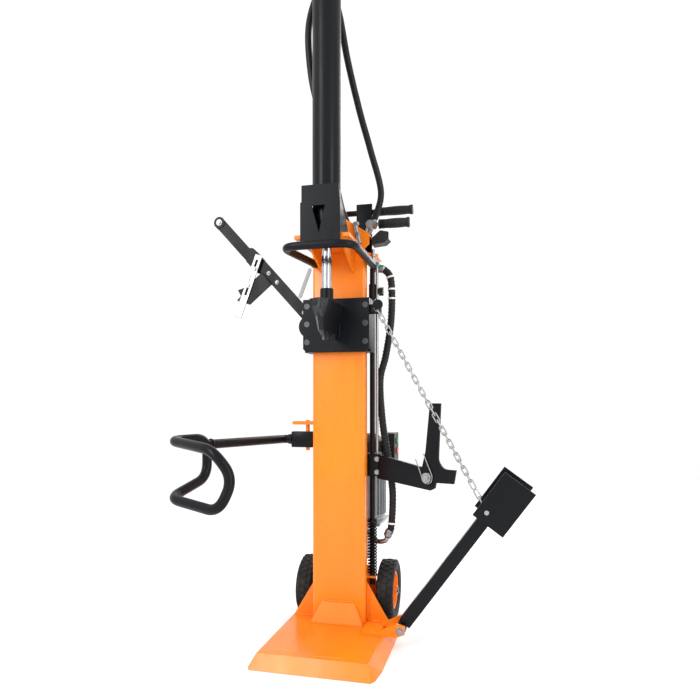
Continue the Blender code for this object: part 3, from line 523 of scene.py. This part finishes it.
def make_tubes():
    """The guard hoop, and the catch arm with its grab loop and welds."""
    shape = bmesh.new()
    hoop = [(x, y, GUARD_Z) for x, y in GUARD_HOOP]
    sweep(shape, rounded_path(hoop, 0.055, 14), GUARD_RADIUS, 28)
    piece("guard_hoop_fine", shape, "black", "frame", "guard_hoop")
    weld_bead("hoop_weld", [(-0.092, 0.0, 1.240), (-0.092, 0.0, 1.261)], 0.002, "black")

    shape = bmesh.new()
    sweep(shape, rounded_path([ARM_ROOT, ARM_BEND, ARM_END], 0.040, 14), ARM_RADIUS, 28)
    sweep(shape, rounded_path(GRAB_LOOP, 0.045, 12, cyclic=True), ARM_RADIUS, 28, cyclic=True)
    piece("catch_arm_fine", shape, "black", BODY_OF["catch_arm"], "catch_arm")
    shape = bmesh.new()
    run = (ARM_END - ARM_BEND).normalized()
    seam = [ARM_END - run * (0.016 + 0.0008 * sin(a * 9)) + 0.0158 * (Z * cos(a) + run.cross(Z) * sin(a))
            for a in turns(60)]
    sweep(shape, seam, 0.0026, 8, cyclic=True)
    lathe(shape, [(0.0152, 0), (0.0195, 0.001), (0.0175, 0.014), (0.0152, 0.020)],
          ARM_ROOT + X * 0.0008, -X, 32)
    piece("catch_arm_welds", shape, "black", BODY_OF["catch_arm"], sharp=60)


def hose_end(shape, where, direction, radius, length=0.030):
    """Add the crimped shell on the end of a hose."""
    crimps, spacing, bare = 5, 0.16, radius * 0.9
    profile = [(bare, 0)]
    for i in range(crimps):
        start = spacing * i
        profile += [(radius * 1.22, length * (0.05 + start)), (radius * 1.22, length * (0.14 + start)),
                    (radius * 1.12, length * (0.17 + start))]
    lathe(shape, profile + [(bare, length)], where, direction, 32)


def make_hoses():
    """The two hoses to the cylinder, with their crimped ends."""
    for node, route, radius in HOSES:
        path = smooth_path(route, 14)
        shape = bmesh.new()
        sweep(shape, path, radius, 24)
        piece(f"{node}_fine", shape, "hose", "frame", node)
        shape = bmesh.new()
        for start, ahead in ((path[0], path[2]), (path[-1], path[-3])):
            hose_end(shape, start, ahead - start, radius)
        piece(f"{node}_ends", shape, "zinc", "frame", sharp=25)


def make_pressure_hose():
    """The wrapped hose beside the column, with its ties, crimped ends and lower pipe."""
    path = smooth_path(PRESSURE_HOSE, 26)
    shape = bmesh.new()
    sweep(shape, path, PRESSURE_RADIUS, 20)
    piece("pressure_hose_fine", shape, "hose", "frame", "pressure_hose")

    wrap = []
    travelled = 0.0
    for before, point, after in zip(path, path[1:], path[2:]):
        _, across, other = frame_of(after - before, Y)
        span = (point - before).length
        for step in range(WRAP_STEPS):
            travelled += span / WRAP_STEPS
            angle = 2 * pi * travelled / WRAP_PITCH
            centre = before.lerp(point, (step + 1) / WRAP_STEPS)
            wrap.append(centre + WRAP_AT * (across * cos(angle) + other * sin(angle)))
    shape = bmesh.new()
    sweep(shape, wrap[WRAP_STEPS:-WRAP_STEPS], WRAP_RADIUS, 6)
    piece("hose_wrap", shape, "plastic", "frame", sharp=70)

    shape = bmesh.new()
    for height in TIE_HEIGHTS:
        i = min(range(2, len(path) - 2), key=lambda k: abs(path[k].z - height))
        lathe(shape, [(0.0128, -0.003), (0.0146, -0.003), (0.0149, 0), (0.0146, 0.003), (0.0128, 0.003)],
              path[i], path[i + 1] - path[i - 1], 28)
    piece("hose_ties", shape, "white", "frame", sharp=50)

    shape = bmesh.new()
    sweep(shape, rounded_path(PRESSURE_PIPE, 0.020, 8), 0.0085, 20)
    hose_end(shape, path[-1] + Z * 0.004, path[-3] - path[-1], 0.0122, 0.026)
    hose_end(shape, path[0], path[3] - path[0], 0.0122, 0.024)
    hexagon(shape, (0.1165, 0.102, 1.2485), -X, 0.0125, 0.014)
    piece("pressure_hose_ends", shape, "zinc", "frame", sharp=30)


def make_spring():
    """The stroke rod's return spring: an even coil between its bracket and the rod's collar."""
    per_turn, clear = 26, 0.0004
    count = SPRING_TURNS * per_turn
    rise = SPRING_HIGH - SPRING_LOW - 2 * SPRING_WIRE - 2 * clear
    path = []
    for i in range(count + 1):
        a = 2 * pi * i / per_turn
        path.append((STROKE_X + SPRING_COIL * cos(a), STROKE_Y + SPRING_COIL * sin(a),
                     SPRING_LOW + SPRING_WIRE + clear + rise * i / count))
    shape = bmesh.new()
    sweep(shape, path, SPRING_WIRE, 10)
    piece("return_spring_fine", shape, "black", BODY_OF["return_spring"], "return_spring")


def chain_link(shape, middle, run, side, straight):
    """Add one welded link: two half rounds, each moved out from the middle by half the straight part."""
    path = [middle + run * (LINK_HALF_WIDTH * cos(a) + (straight if cos(a) > 0 else -straight))
            + side * LINK_HALF_WIDTH * sin(a) for a in turns(20)]
    sweep(shape, path, LINK_WIRE, 8, cyclic=True)


def make_chain():
    """Short welded links, each a quarter turn from the last."""
    run, across, other = frame_of(CHAIN_END - CHAIN_TOP, Y)
    straight = (LINK_PITCH + LINK_WIRE - LINK_HALF_WIDTH) / 2
    count = int(((CHAIN_END - CHAIN_TOP).length - CHAIN_SHORT) / LINK_PITCH)
    shape = bmesh.new()
    for i in range(count):
        middle = CHAIN_TOP + run * (LINK_PITCH * (i + 0.5) + 0.004)
        chain_link(shape, middle, run, across if i % 2 else other, straight)
    piece("lifter_chain_fine", shape, "zinc", BODY_OF["lifter_chain"], "lifter_chain", sharp=60)


make_tubes()
make_hoses()
make_pressure_hose()
make_spring()
make_chain()


# ---------------------------------------------------------------- cylinder and carriage

CYLINDER_Y = -0.140
PORT_HEIGHTS = (1.395, 2.212)
PLATE_Y, SCREW_X, SCREW_HEIGHTS = -0.034, 0.100, (1.103, 1.043, 0.983)


def make_cylinder():
    """The tube with its grooves and rounded top, and the two ports behind it."""
    shape = bmesh.new()
    outside, groove, bore, rim, crown = 0.045, 0.0444, 0.0375, 1.301, 2.287
    lathe(shape, [(0, crown), (0.040, crown), (0.0446, 2.284), (outside, 2.281), (outside, 2.2705),
                  (groove, 2.270), (groove, 2.2665), (outside, 2.266), (outside, 1.3435), (groove, 1.343),
                  (groove, 1.3405), (outside, 1.340), (outside, 1.302), (0.0440, rim), (bore, rim),
                  (bore, 2.260), (0, 2.260)], (0, CYLINDER_Y, 0), Z, 96)
    piece("cylinder_tube_fine", shape, "black", "frame", "cylinder_tube", sharp=30)
    shape = bmesh.new()
    for height in PORT_HEIGHTS:
        lathe(shape, [(0.0095, 0), (0.0095, 0.018), (0.0128, 0.018), (0.0128, 0.030), (0.0095, 0.033),
                      (0, 0.033), (0, 0)], (0, CYLINDER_Y + 0.042, height), Y, 24)
    piece("cylinder_ports", shape, "zinc", "frame", sharp=30)


def make_carriage_details():
    """Countersunk screws, the wedge's welds, and the chain's disc and shackle."""
    shape = bmesh.new()
    for side, _ in SIDES:
        for height in SCREW_HEIGHTS:
            lathe(shape, [(0, 0.0002), (0.0042, 0.0002), (0.0047, 0.0011), (0.0092, 0.0011),
                          (0.0108, -0.0004), (0, -0.0004)], (side * SCREW_X, PLATE_Y, height), -Y, 28)
    piece("carriage_screws", shape, "oxide", "carriage", sharp=25)
    for side, name in SIDES:
        x, y = side * 0.0125, PLATE_Y - 0.002
        weld_bead(f"wedge_weld_{name}", [(x, y, 0.995), (x, y, 1.040)], 0.0024, "black", "carriage")
    shape = bmesh.new()
    lathe(shape, [(0, 0), (0.0150, 0), (0.0165, 0.002), (0.0165, 0.007), (0.0150, 0.009), (0, 0.009)],
          CHAIN_TOP + Vector((0.006, -0.004, 0.010)), -Y, 32)
    piece("chain_disc", shape, "black", "carriage")
    shape = bmesh.new()
    ring = [CHAIN_TOP + Vector((0.0075 * cos(a), 0, 0.0095 * sin(a))) for a in turns(24)]
    sweep(shape, ring, 0.0026, 8, cyclic=True)
    piece("chain_shackle", shape, "zinc", "chain")


# ---------------------------------------------------------------- wheels and grips

WHEEL_X, WHEEL_Y, WHEEL_Z = 0.145, 0.160, 0.1115
HUB_FACE, TREAD_COUNT, TREAD_FOOT = 0.0302, 28, 0.0985
TREAD_ROWS = (  # offset along the axle, width, turn in pitches, top radius
    (-0.0185, 0.0125, 0, 0.1058),
    (0, 0.016, 0.5, 0.1072),
    (0.0185, 0.0125, 0, 0.1058),
)


def make_wheels():
    """Tyres with three rows of tread blocks, and the nut on each end of the axle."""
    half = [(0.0655, -0.019), (0.069, -0.0255), (0.078, -0.0285), (0.090, -0.0296), (0.0975, -0.0285),
            (0.1015, -0.024), (0.1030, -0.012)]
    carcass = half + [(0.1033, 0.0)] + [(radius, -height) for radius, height in reversed(half)]
    for side, name in SIDES:
        centre = Vector((side * WHEEL_X, WHEEL_Y, WHEEL_Z))
        shape = bmesh.new()
        lathe(shape, carcass, centre, X, 84)
        for k in range(TREAD_COUNT):
            for offset, width, shift, top in TREAD_ROWS:
                a = 2 * pi * (k + shift) / TREAD_COUNT
                out = Y * cos(a) + Z * sin(a)
                along = Z * cos(a) - Y * sin(a)
                slab(shape, [(-width / 2, -0.0075), (width / 2, -0.0060), (width / 2, 0.0075),
                             (-width / 2, 0.0060)], top - TREAD_FOOT,
                     centre + X * offset + out * (top + TREAD_FOOT) / 2, X, along)
        piece(f"tyre_{name}_fine", shape, "tyre", f"wheel_{name}", f"tyre_{name}", sharp=30)
        out = X * side
        shape = bmesh.new()
        lathe(shape, [(0, 0), (0.0135, 0), (0.0135, 0.0018), (0, 0.0018)], centre + out * HUB_FACE, out, 28)
        hexagon(shape, centre + out * (HUB_FACE + 0.0018), out, 0.0100, 0.0045)
        piece(f"wheel_{name}_nut", shape, "zinc", "frame", sharp=25)


def make_grip(node, start, end, radius):
    """Moulded grip: ribbed collar, swelling body and a flared end."""
    start, end = Vector(start), Vector(end)
    length = (end - start).length
    ribs, rib, groove, steps = 6, 0.93, 0.84, 14
    outline = [(0.78, 0.0), (rib, 0.001 / length)]  # shares of the radius and of the length
    for i in range(ribs):
        at = 0.05 + 0.030 * i
        outline += [(rib, at), (groove, at + 0.008), (groove, at + 0.020)]
    outline += [(0.86 + 0.08 * sin(pi * i / steps), 0.24 + 0.62 * i / steps) for i in range(steps + 1)]
    outline += [(0.90, 0.90), (0.99, 0.94), (1, 0.975), (0.94, 0.998), (0, 1), (0, 0.9), (0.6, 0.9), (0.6, 0)]
    profile = [(radius * share, length * along) for share, along in outline]
    shape = bmesh.new()
    lathe(shape, profile, start, end - start, 40)
    piece(f"{node}_fine", shape, "grip", BODY_OF[node], node, sharp=50)


# ---------------------------------------------------------------- fasteners, welds and small fittings

LEVER_PIVOT = Vector((-0.128, 0.082, 1.060))
LEVER_END = Vector((-0.482, 0.082, 1.448))
LEVER_BOLTS = (0.242, 0.195, 0.043)
CLAW_FACE_Y, CLAW_BOLTS = 0.0645, ((-0.355, 1.205), (-0.330, 1.262))
ARM_FACE_Y, ARM_BOLTS = 0.0635, ((0.120, 0.586), (0.120, 0.541))
HOOK_PIVOT = Vector((0.309, -0.006, 0.538))
HOOK_ACROSS = Vector((0.927275, -0.374381, 0))
HOOK_NORMAL = Vector((-0.374381, -0.927275, 0))
HOOK_WIRE = ((-0.042, 0.058), (-0.030, 0.030), (-0.0185, 0.000), (-0.0110, -0.0150), (0.0020, -0.0188),
             (0.0140, -0.0130), (0.0185, 0.002), (0.0140, 0.018), (0.000, 0.048), (-0.0105, 0.072),
             (-0.0150, 0.076))
LIFTER_PIVOT = Vector((0.225, -0.050, 0.062))
ANCHOR_LINKS, ANCHOR_STRAIGHT = 3, 0.0094
RIBS = ((-0.118, -0.048), (-0.012, 0.100))
RIB_Y, RIB_Z, RIB_RADIUS = -0.281, 0.0376, 0.0045
FOOT_LOW, FOOT_HIGH, FOOT_LEAN, FOOT_HALF = 0.0405, 0.110, 0.026, 0.088
SEAM_Z, GUSSET_Y, WELD = 0.0415, 0.0345, 0.0026


def make_lever_details():
    """The eye at the lever's end, its screws, and the claw's bolts."""
    reach = (LEVER_END - LEVER_PIVOT).normalized()
    up = Y.cross(reach)
    tip = LEVER_END + Y * 0.011
    shape = bmesh.new()
    washer(shape, tip, -Y, 0.0215, 0.0028)
    lathe(shape, [(0.010, -0.002), (0.0185, -0.002), (0.0185, 0.022), (0.010, 0.022)],
          tip + Y * 0.008 - Z * 0.006, Y, 32)
    piece("lever_end_eye", shape, "black", "lever")
    shape = bmesh.new()
    bolt(shape, tip - Y * 0.003, -Y, (0.0115, 0.0015), (0.0078, 0.0045))
    for along in LEVER_BOLTS:
        seat = LEVER_PIVOT + reach * along + up * 0.013 - Y * 0.003
        washer(shape, seat, -Y, 0.0075, 0.0012)
        lathe(shape, [(0, 0.0048), (0.003, 0.0044), (0.0052, 0.0026), (0.0055, 0), (0, 0)],
              seat - Y * 0.0012, -Y, 20)
    piece("lever_bolts", shape, "zinc", "lever", sharp=25)
    shape = bmesh.new()
    for x, z in CLAW_BOLTS:
        bolt(shape, (x, CLAW_FACE_Y, z), -Y, (0.0085, 0.0014), (0.0062, 0.0042))
    piece("claw_bolts", shape, "zinc", "claw", sharp=25)


def make_right_arm_details():
    """The fixed arm's bolts, and the hook's pivot with its torsion wire."""
    shape = bmesh.new()
    for x, z in ARM_BOLTS:
        bolt(shape, (x, ARM_FACE_Y, z), -Y, (0.0090, 0.0014), (0.0065, 0.0050))
    bolt(shape, HOOK_PIVOT + HOOK_NORMAL * 0.0245, HOOK_NORMAL, (0.0165, 0.0025), (0.0115, 0.0065))
    piece("arm_bolts", shape, "zinc", "frame", sharp=25)
    face = HOOK_PIVOT + HOOK_NORMAL * 0.0190
    shape = bmesh.new()
    sweep(shape, smooth_path([face + HOOK_ACROSS * a + Z * b for a, b in HOOK_WIRE], 8), 0.0019, 10)
    coil = [face - HOOK_NORMAL * (0.002 + 0.0038 * i / 20) + 0.0142 * (HOOK_ACROSS * cos(a) + Z * sin(a))
            for i, a in enumerate(turns(20)[:16])]
    sweep(shape, coil, 0.0018, 10)
    piece("hook_spring", shape, "zinc", "frame", sharp=50)


def make_lifter_details():
    """The last links of the chain and the pin that holds them, and the nuts of the lifter's pivot."""
    run, across, other = frame_of(CHAIN_END - CHAIN_TOP, Y)
    shape = bmesh.new()
    for i in range(ANCHOR_LINKS):
        middle = CHAIN_END - run * (0.058 - LINK_PITCH * i)
        chain_link(shape, middle, run, other if i % 2 else across, ANCHOR_STRAIGHT)
    pin = Vector((CHAIN_END.x, -0.116, CHAIN_END.z))
    lathe(shape, [(0, 0), (0.0045, 0), (0.0045, 0.046), (0, 0.046)], pin, Y, 20)
    hexagon(shape, pin - Y * 0.005, -Y, 0.0080, 0.0055)
    piece("chain_anchor", shape, "zinc", "lifter", sharp=40)
    shape = bmesh.new()
    for side, _ in SIDES:
        washer(shape, LIFTER_PIVOT + Y * side * 0.0445, Y * side, 0.0140, 0.0022)
        hexagon(shape, LIFTER_PIVOT + Y * side * 0.0500, Y * side, 0.0090, 0.0060)
    piece("lifter_pin_nuts", shape, "zinc", "frame", sharp=25)


def make_base_details():
    """The base plate's raised ribs, the ramp at the column's foot, and the welds round it."""
    steps = 20
    shape = bmesh.new()
    for low, high in RIBS:
        path = [(low + (high - low) * i / steps, RIB_Y, RIB_Z) for i in range(steps + 1)]
        radii = [RIB_RADIUS * min(1.0, min(i, steps - i) / 2.0 + 0.35) for i in range(steps + 1)]
        sweep(shape, path, radii, 16)
    piece("base_ribs", shape, "orange", "frame", sharp=50)
    shape = bmesh.new()
    front = [shape.verts.new(p) for p in (
        (-FOOT_HALF, -FOOT_LEAN, FOOT_LOW), (FOOT_HALF, -FOOT_LEAN, FOOT_LOW),
        (0.086, -FOOT_LEAN, FOOT_LOW + 0.010), (0.055, -0.0025, FOOT_HIGH), (-0.055, -0.0025, FOOT_HIGH),
        (-0.086, -FOOT_LEAN, FOOT_LOW + 0.010))]
    back = [shape.verts.new((v.co.x, 0.0006, v.co.z)) for v in front]
    shape.faces.new(front)
    shape.faces.new(back[::-1])
    join_loops(shape, front, back)
    piece("column_foot", shape, "orange", "frame", sharp=20, bevel=0.0015)
    weld_bead("foot_weld_top", [(-0.052, -0.0025, 0.1105), (0.052, -0.0025, 0.1105)], 0.0034)
    weld_bead("foot_weld_low", [(-FOOT_HALF, -0.027, SEAM_Z), (FOOT_HALF, -0.027, SEAM_Z)], WELD)
    for side, name in SIDES:
        upright = [(side * 0.094, GUSSET_Y, 0.045), (side * 0.094, GUSSET_Y, 0.160)]
        weld_bead(f"gusset_weld_{name}", upright, WELD)
        weld_bead(f"gusset_foot_{name}", [(side * x, GUSSET_Y, SEAM_Z) for x in (0.095, 0.160)], WELD)


# ---------------------------------------------------------------- controls and motor

CONTROL_PIPE = ((0.058, 0.010, 1.388), (0.062, 0.006, 1.356), (0.074, 0.004, 1.314))
CONTROL_NUTS, NUT_AXIS = ((0.0585, 0.009, 1.386), (0.0640, 0.006, 1.350)), (0.15, -0.05, -1)
HOSE_FITTING, FITTING_CAP, LEVER_BOSS = (0.106, 0.072, 1.262), (0.118, 0.086, 1.252), (0.108, 0.060, 1.391)
STOP_ROD_X, STOP_ROD_Y, STOP_ROD_LOW, STOP_ROD_LENGTH = 0.1165, 0.085, 0.600, 0.662
FILLER_Y, FILLER_Z, FILLER_FLUTES, FLUTE_RING = 0.093, 1.2152, 18, 0.0212
MOTOR = Vector((0.030, 0.245, 0))
MOTOR_FINS = 32
GRILLE_RINGS, GRILLE_Z, GRILLE_WIRE = (0.027, 0.036, 0.045, 0.054), 0.6608, 0.0011


def make_console_painted_highlight():
    """Pale grey sheets on the console's right side and slanted top: a painted highlight where light falls on
    its black box.
    """
    shape = bmesh.new()
    block(shape, (0.1645, 0.042, 1.334), (0.1660, 0.090, 1.357))
    slab(shape, [(0, -0.024), (0.0285, -0.024), (0.0285, 0.024), (0, 0.024)], 0.0014,
         (0.1348, 0.066, 1.3648), (0.0300, 0, -0.0060), Y)
    piece("console_painted_highlight", shape, "pale", "frame", bevel=0.0004)


def make_fittings():
    """The control valve's pipe and nuts, the fitting above the hose with its cap, and the lever's boss."""
    shape = bmesh.new()
    sweep(shape, rounded_path(CONTROL_PIPE, 0.01, 6), 0.0070, 18)
    for point in CONTROL_NUTS:
        hexagon(shape, point, NUT_AXIS, 0.0115, 0.011)
    lathe(shape, [(0, 0), (0.0085, 0), (0.0085, 0.004), (0.0060, 0.005), (0.0060, 0.020), (0.0095, 0.022),
                  (0.0095, 0.030), (0.0055, 0.032), (0.0055, 0.046), (0, 0.046)], HOSE_FITTING, Z, 24)
    lathe(shape, [(0, 0), (0.0150, 0), (0.0165, 0.003), (0.0165, 0.010), (0.0110, 0.014), (0, 0.014)],
          LEVER_BOSS, X, 28)
    piece("control_fittings", shape, "zinc", "frame", sharp=28)
    shape = bmesh.new()
    lathe(shape, [(0, 0), (0.0085, 0), (0.0085, 0.010), (0.0060, 0.014), (0, 0.015)], FITTING_CAP, Z, 24)
    piece("fitting_cap", shape, "teal", "frame")


def make_stop_rod():
    """The zinc rod beside the stroke rod, which slides with it."""
    steps = 8
    shape = bmesh.new()
    sweep(shape, [(STOP_ROD_X, STOP_ROD_Y, STOP_ROD_LOW + STOP_ROD_LENGTH * i / steps)
                  for i in range(steps + 1)], 0.0052, 20)
    piece("stop_rod", shape, "zinc", "stroke")


def make_filler_cap():
    """The oil tank's cap, with flutes round its rim."""
    middle = Vector((0, FILLER_Y, FILLER_Z))
    shape = bmesh.new()
    lathe(shape, [(0, 0), (0.0205, 0), (0.0215, 0.003), (0.0215, 0.009), (0.0190, 0.012), (0, 0.012)],
          middle, Z, 40)
    for point in circle(middle, X, Y, FLUTE_RING, FILLER_FLUTES):
        lathe(shape, [(0, 0.001), (0.0018, 0.001), (0.0018, 0.0105), (0, 0.0105)], point, Z, 8)
    piece("filler_cap", shape, "plastic", "frame", sharp=40)


def make_motor():
    """The finned motor on its bracket, and the fan cover with its ringed grille."""
    shape = bmesh.new()
    lathe(shape, [(0, 0.600), (0.0835, 0.600), (0.0850, 0.598), (0.0850, 0.590), (0.0800, 0.588),
                  (0.0800, 0.362), (0.0860, 0.358), (0.0860, 0.347), (0, 0.347)], MOTOR, Z, 72)
    for a in turns(MOTOR_FINS):
        slab(shape, [(0.078, 0.366), (0.0876, 0.368), (0.0876, 0.582), (0.078, 0.584)], 0.0024,
             MOTOR, (cos(a), sin(a), 0), Z)
    block(shape, (MOTOR.x - 0.085, 0.1388, 0.338), (MOTOR.x + 0.085, MOTOR.y + 0.070, 0.349))
    piece("motor_fine", shape, "grey", "frame", "motor", sharp=28, bevel=0.0006, segments=1)
    shape = bmesh.new()
    lathe(shape, [(0.020, 0.6600), (0.058, 0.6595), (0.0845, 0.640), (0.0895, 0.634), (0.0900, 0.6010),
                  (0.0870, 0.6010), (0.0865, 0.632), (0.080, 0.640), (0.057, 0.6565), (0.020, 0.6570)],
          MOTOR, Z, 72)
    for radius in GRILLE_RINGS:
        sweep(shape, circle(MOTOR + Z * GRILLE_Z, X, Y, radius, 48), GRILLE_WIRE, 8, cyclic=True)
    piece("fan_cover_fine", shape, "plastic", "frame", "fan_cover", sharp=28)


make_cylinder()
make_carriage_details()
make_wheels()
make_grip("lever_grip", (0.128, 0.060, 1.391), (0.234, 0.060, 1.391), 0.0175)
make_grip("handle_grip", (0.1075, 0.152, 1.462), (0.2325, 0.152, 1.462), 0.0170)
make_lever_details()
make_right_arm_details()
make_lifter_details()
make_base_details()
# painted highlight: pale sheets over the lit faces of the console's black box
make_console_painted_highlight()
make_fittings()
make_stop_rod()
make_filler_cap()
make_motor()


# ---------------------------------------------------------------- wedge and its worn edges

WEDGE_BACK, WEDGE_NOSE, WEDGE_SHOULDER = -0.0345, 0.018, 0.45
WEDGE_LAYERS = (  # half width, reach from the plate, height at the rear, height at the tip
    (0.0010, 0.150, 0.988, 0.974), (0.0085, 0.190, 1.004, 1.002), (0.0108, 0.2055, 1.036, 1.036),
    (0.0122, 0.2055, 1.040, 1.040), (0.0240, 0.2055, 1.074, 1.074), (0.0318, 0.2055, 1.0965, 1.0965),
)


def wedge_finish():
    """Black enamel that is scraped to bare steel along the cutting edge and on the nose."""
    s = paint("wedge_enamel", (0.0035, 0.0040, 0.0055), (0.0075, 0.0085, 0.0110), 0.32, 0.05,
              specular=0.25, dust=GREY_DUST, dusty=0.08)
    split = s.node("ShaderNodeSeparateXYZ")
    s.join(s.place, split.inputs["Vector"])
    low = s.span(split.outputs["Z"], 0.975, 1.004, 1.0, 0.0)
    nose = s.span(split.outputs["Y"], -0.240, -0.215, 1.0, 0.0)
    scraped = s.span(s.noise(150, 6, (1, 1, 0.25)), 0.50, 0.62, 0.0, 0.75)
    bare = s.math("MULTIPLY", s.math("MAXIMUM", low, s.math("MULTIPLY", nose, 0.15)), scraped)
    s.tint(bare, (0.34, 0.34, 0.35))
    s.join(bare, s.shader.inputs["Metallic"])
    return s.material


def make_wedge():
    """Blade with ground bevels, under a spreader whose cheeks open out towards the top."""
    shape = bmesh.new()
    loops = []
    for half, reach, rear, tip in WEDGE_LAYERS:
        shoulder, nose, front = (WEDGE_BACK - reach * WEDGE_SHOULDER, WEDGE_BACK - reach + WEDGE_NOSE,
                                 WEDGE_BACK - reach)
        plan = ((-half, WEDGE_BACK, rear), (-half, shoulder, rear), (-half, nose, tip), (0, front, tip),
                (half, nose, tip), (half, shoulder, rear), (half, WEDGE_BACK, rear))
        loops.append([shape.verts.new(point) for point in plan])
    for low, high in zip(loops, loops[1:]):
        join_loops(shape, low, high)
    shape.faces.new(loops[0])
    shape.faces.new(loops[-1])
    made = piece("wedge_fine", shape, "black", "carriage", "wedge", sharp=8, bevel=0.0008)
    made.data.materials[0] = wedge_finish()


make_wedge()


# ---------------------------------------------------------------- remaining CAD shapes

finished = {obj.name.removesuffix("_fine") for obj in bpy.data.objects if obj.name.endswith("_fine")}
for node in NODES:
    if node not in finished:
        refine(node)
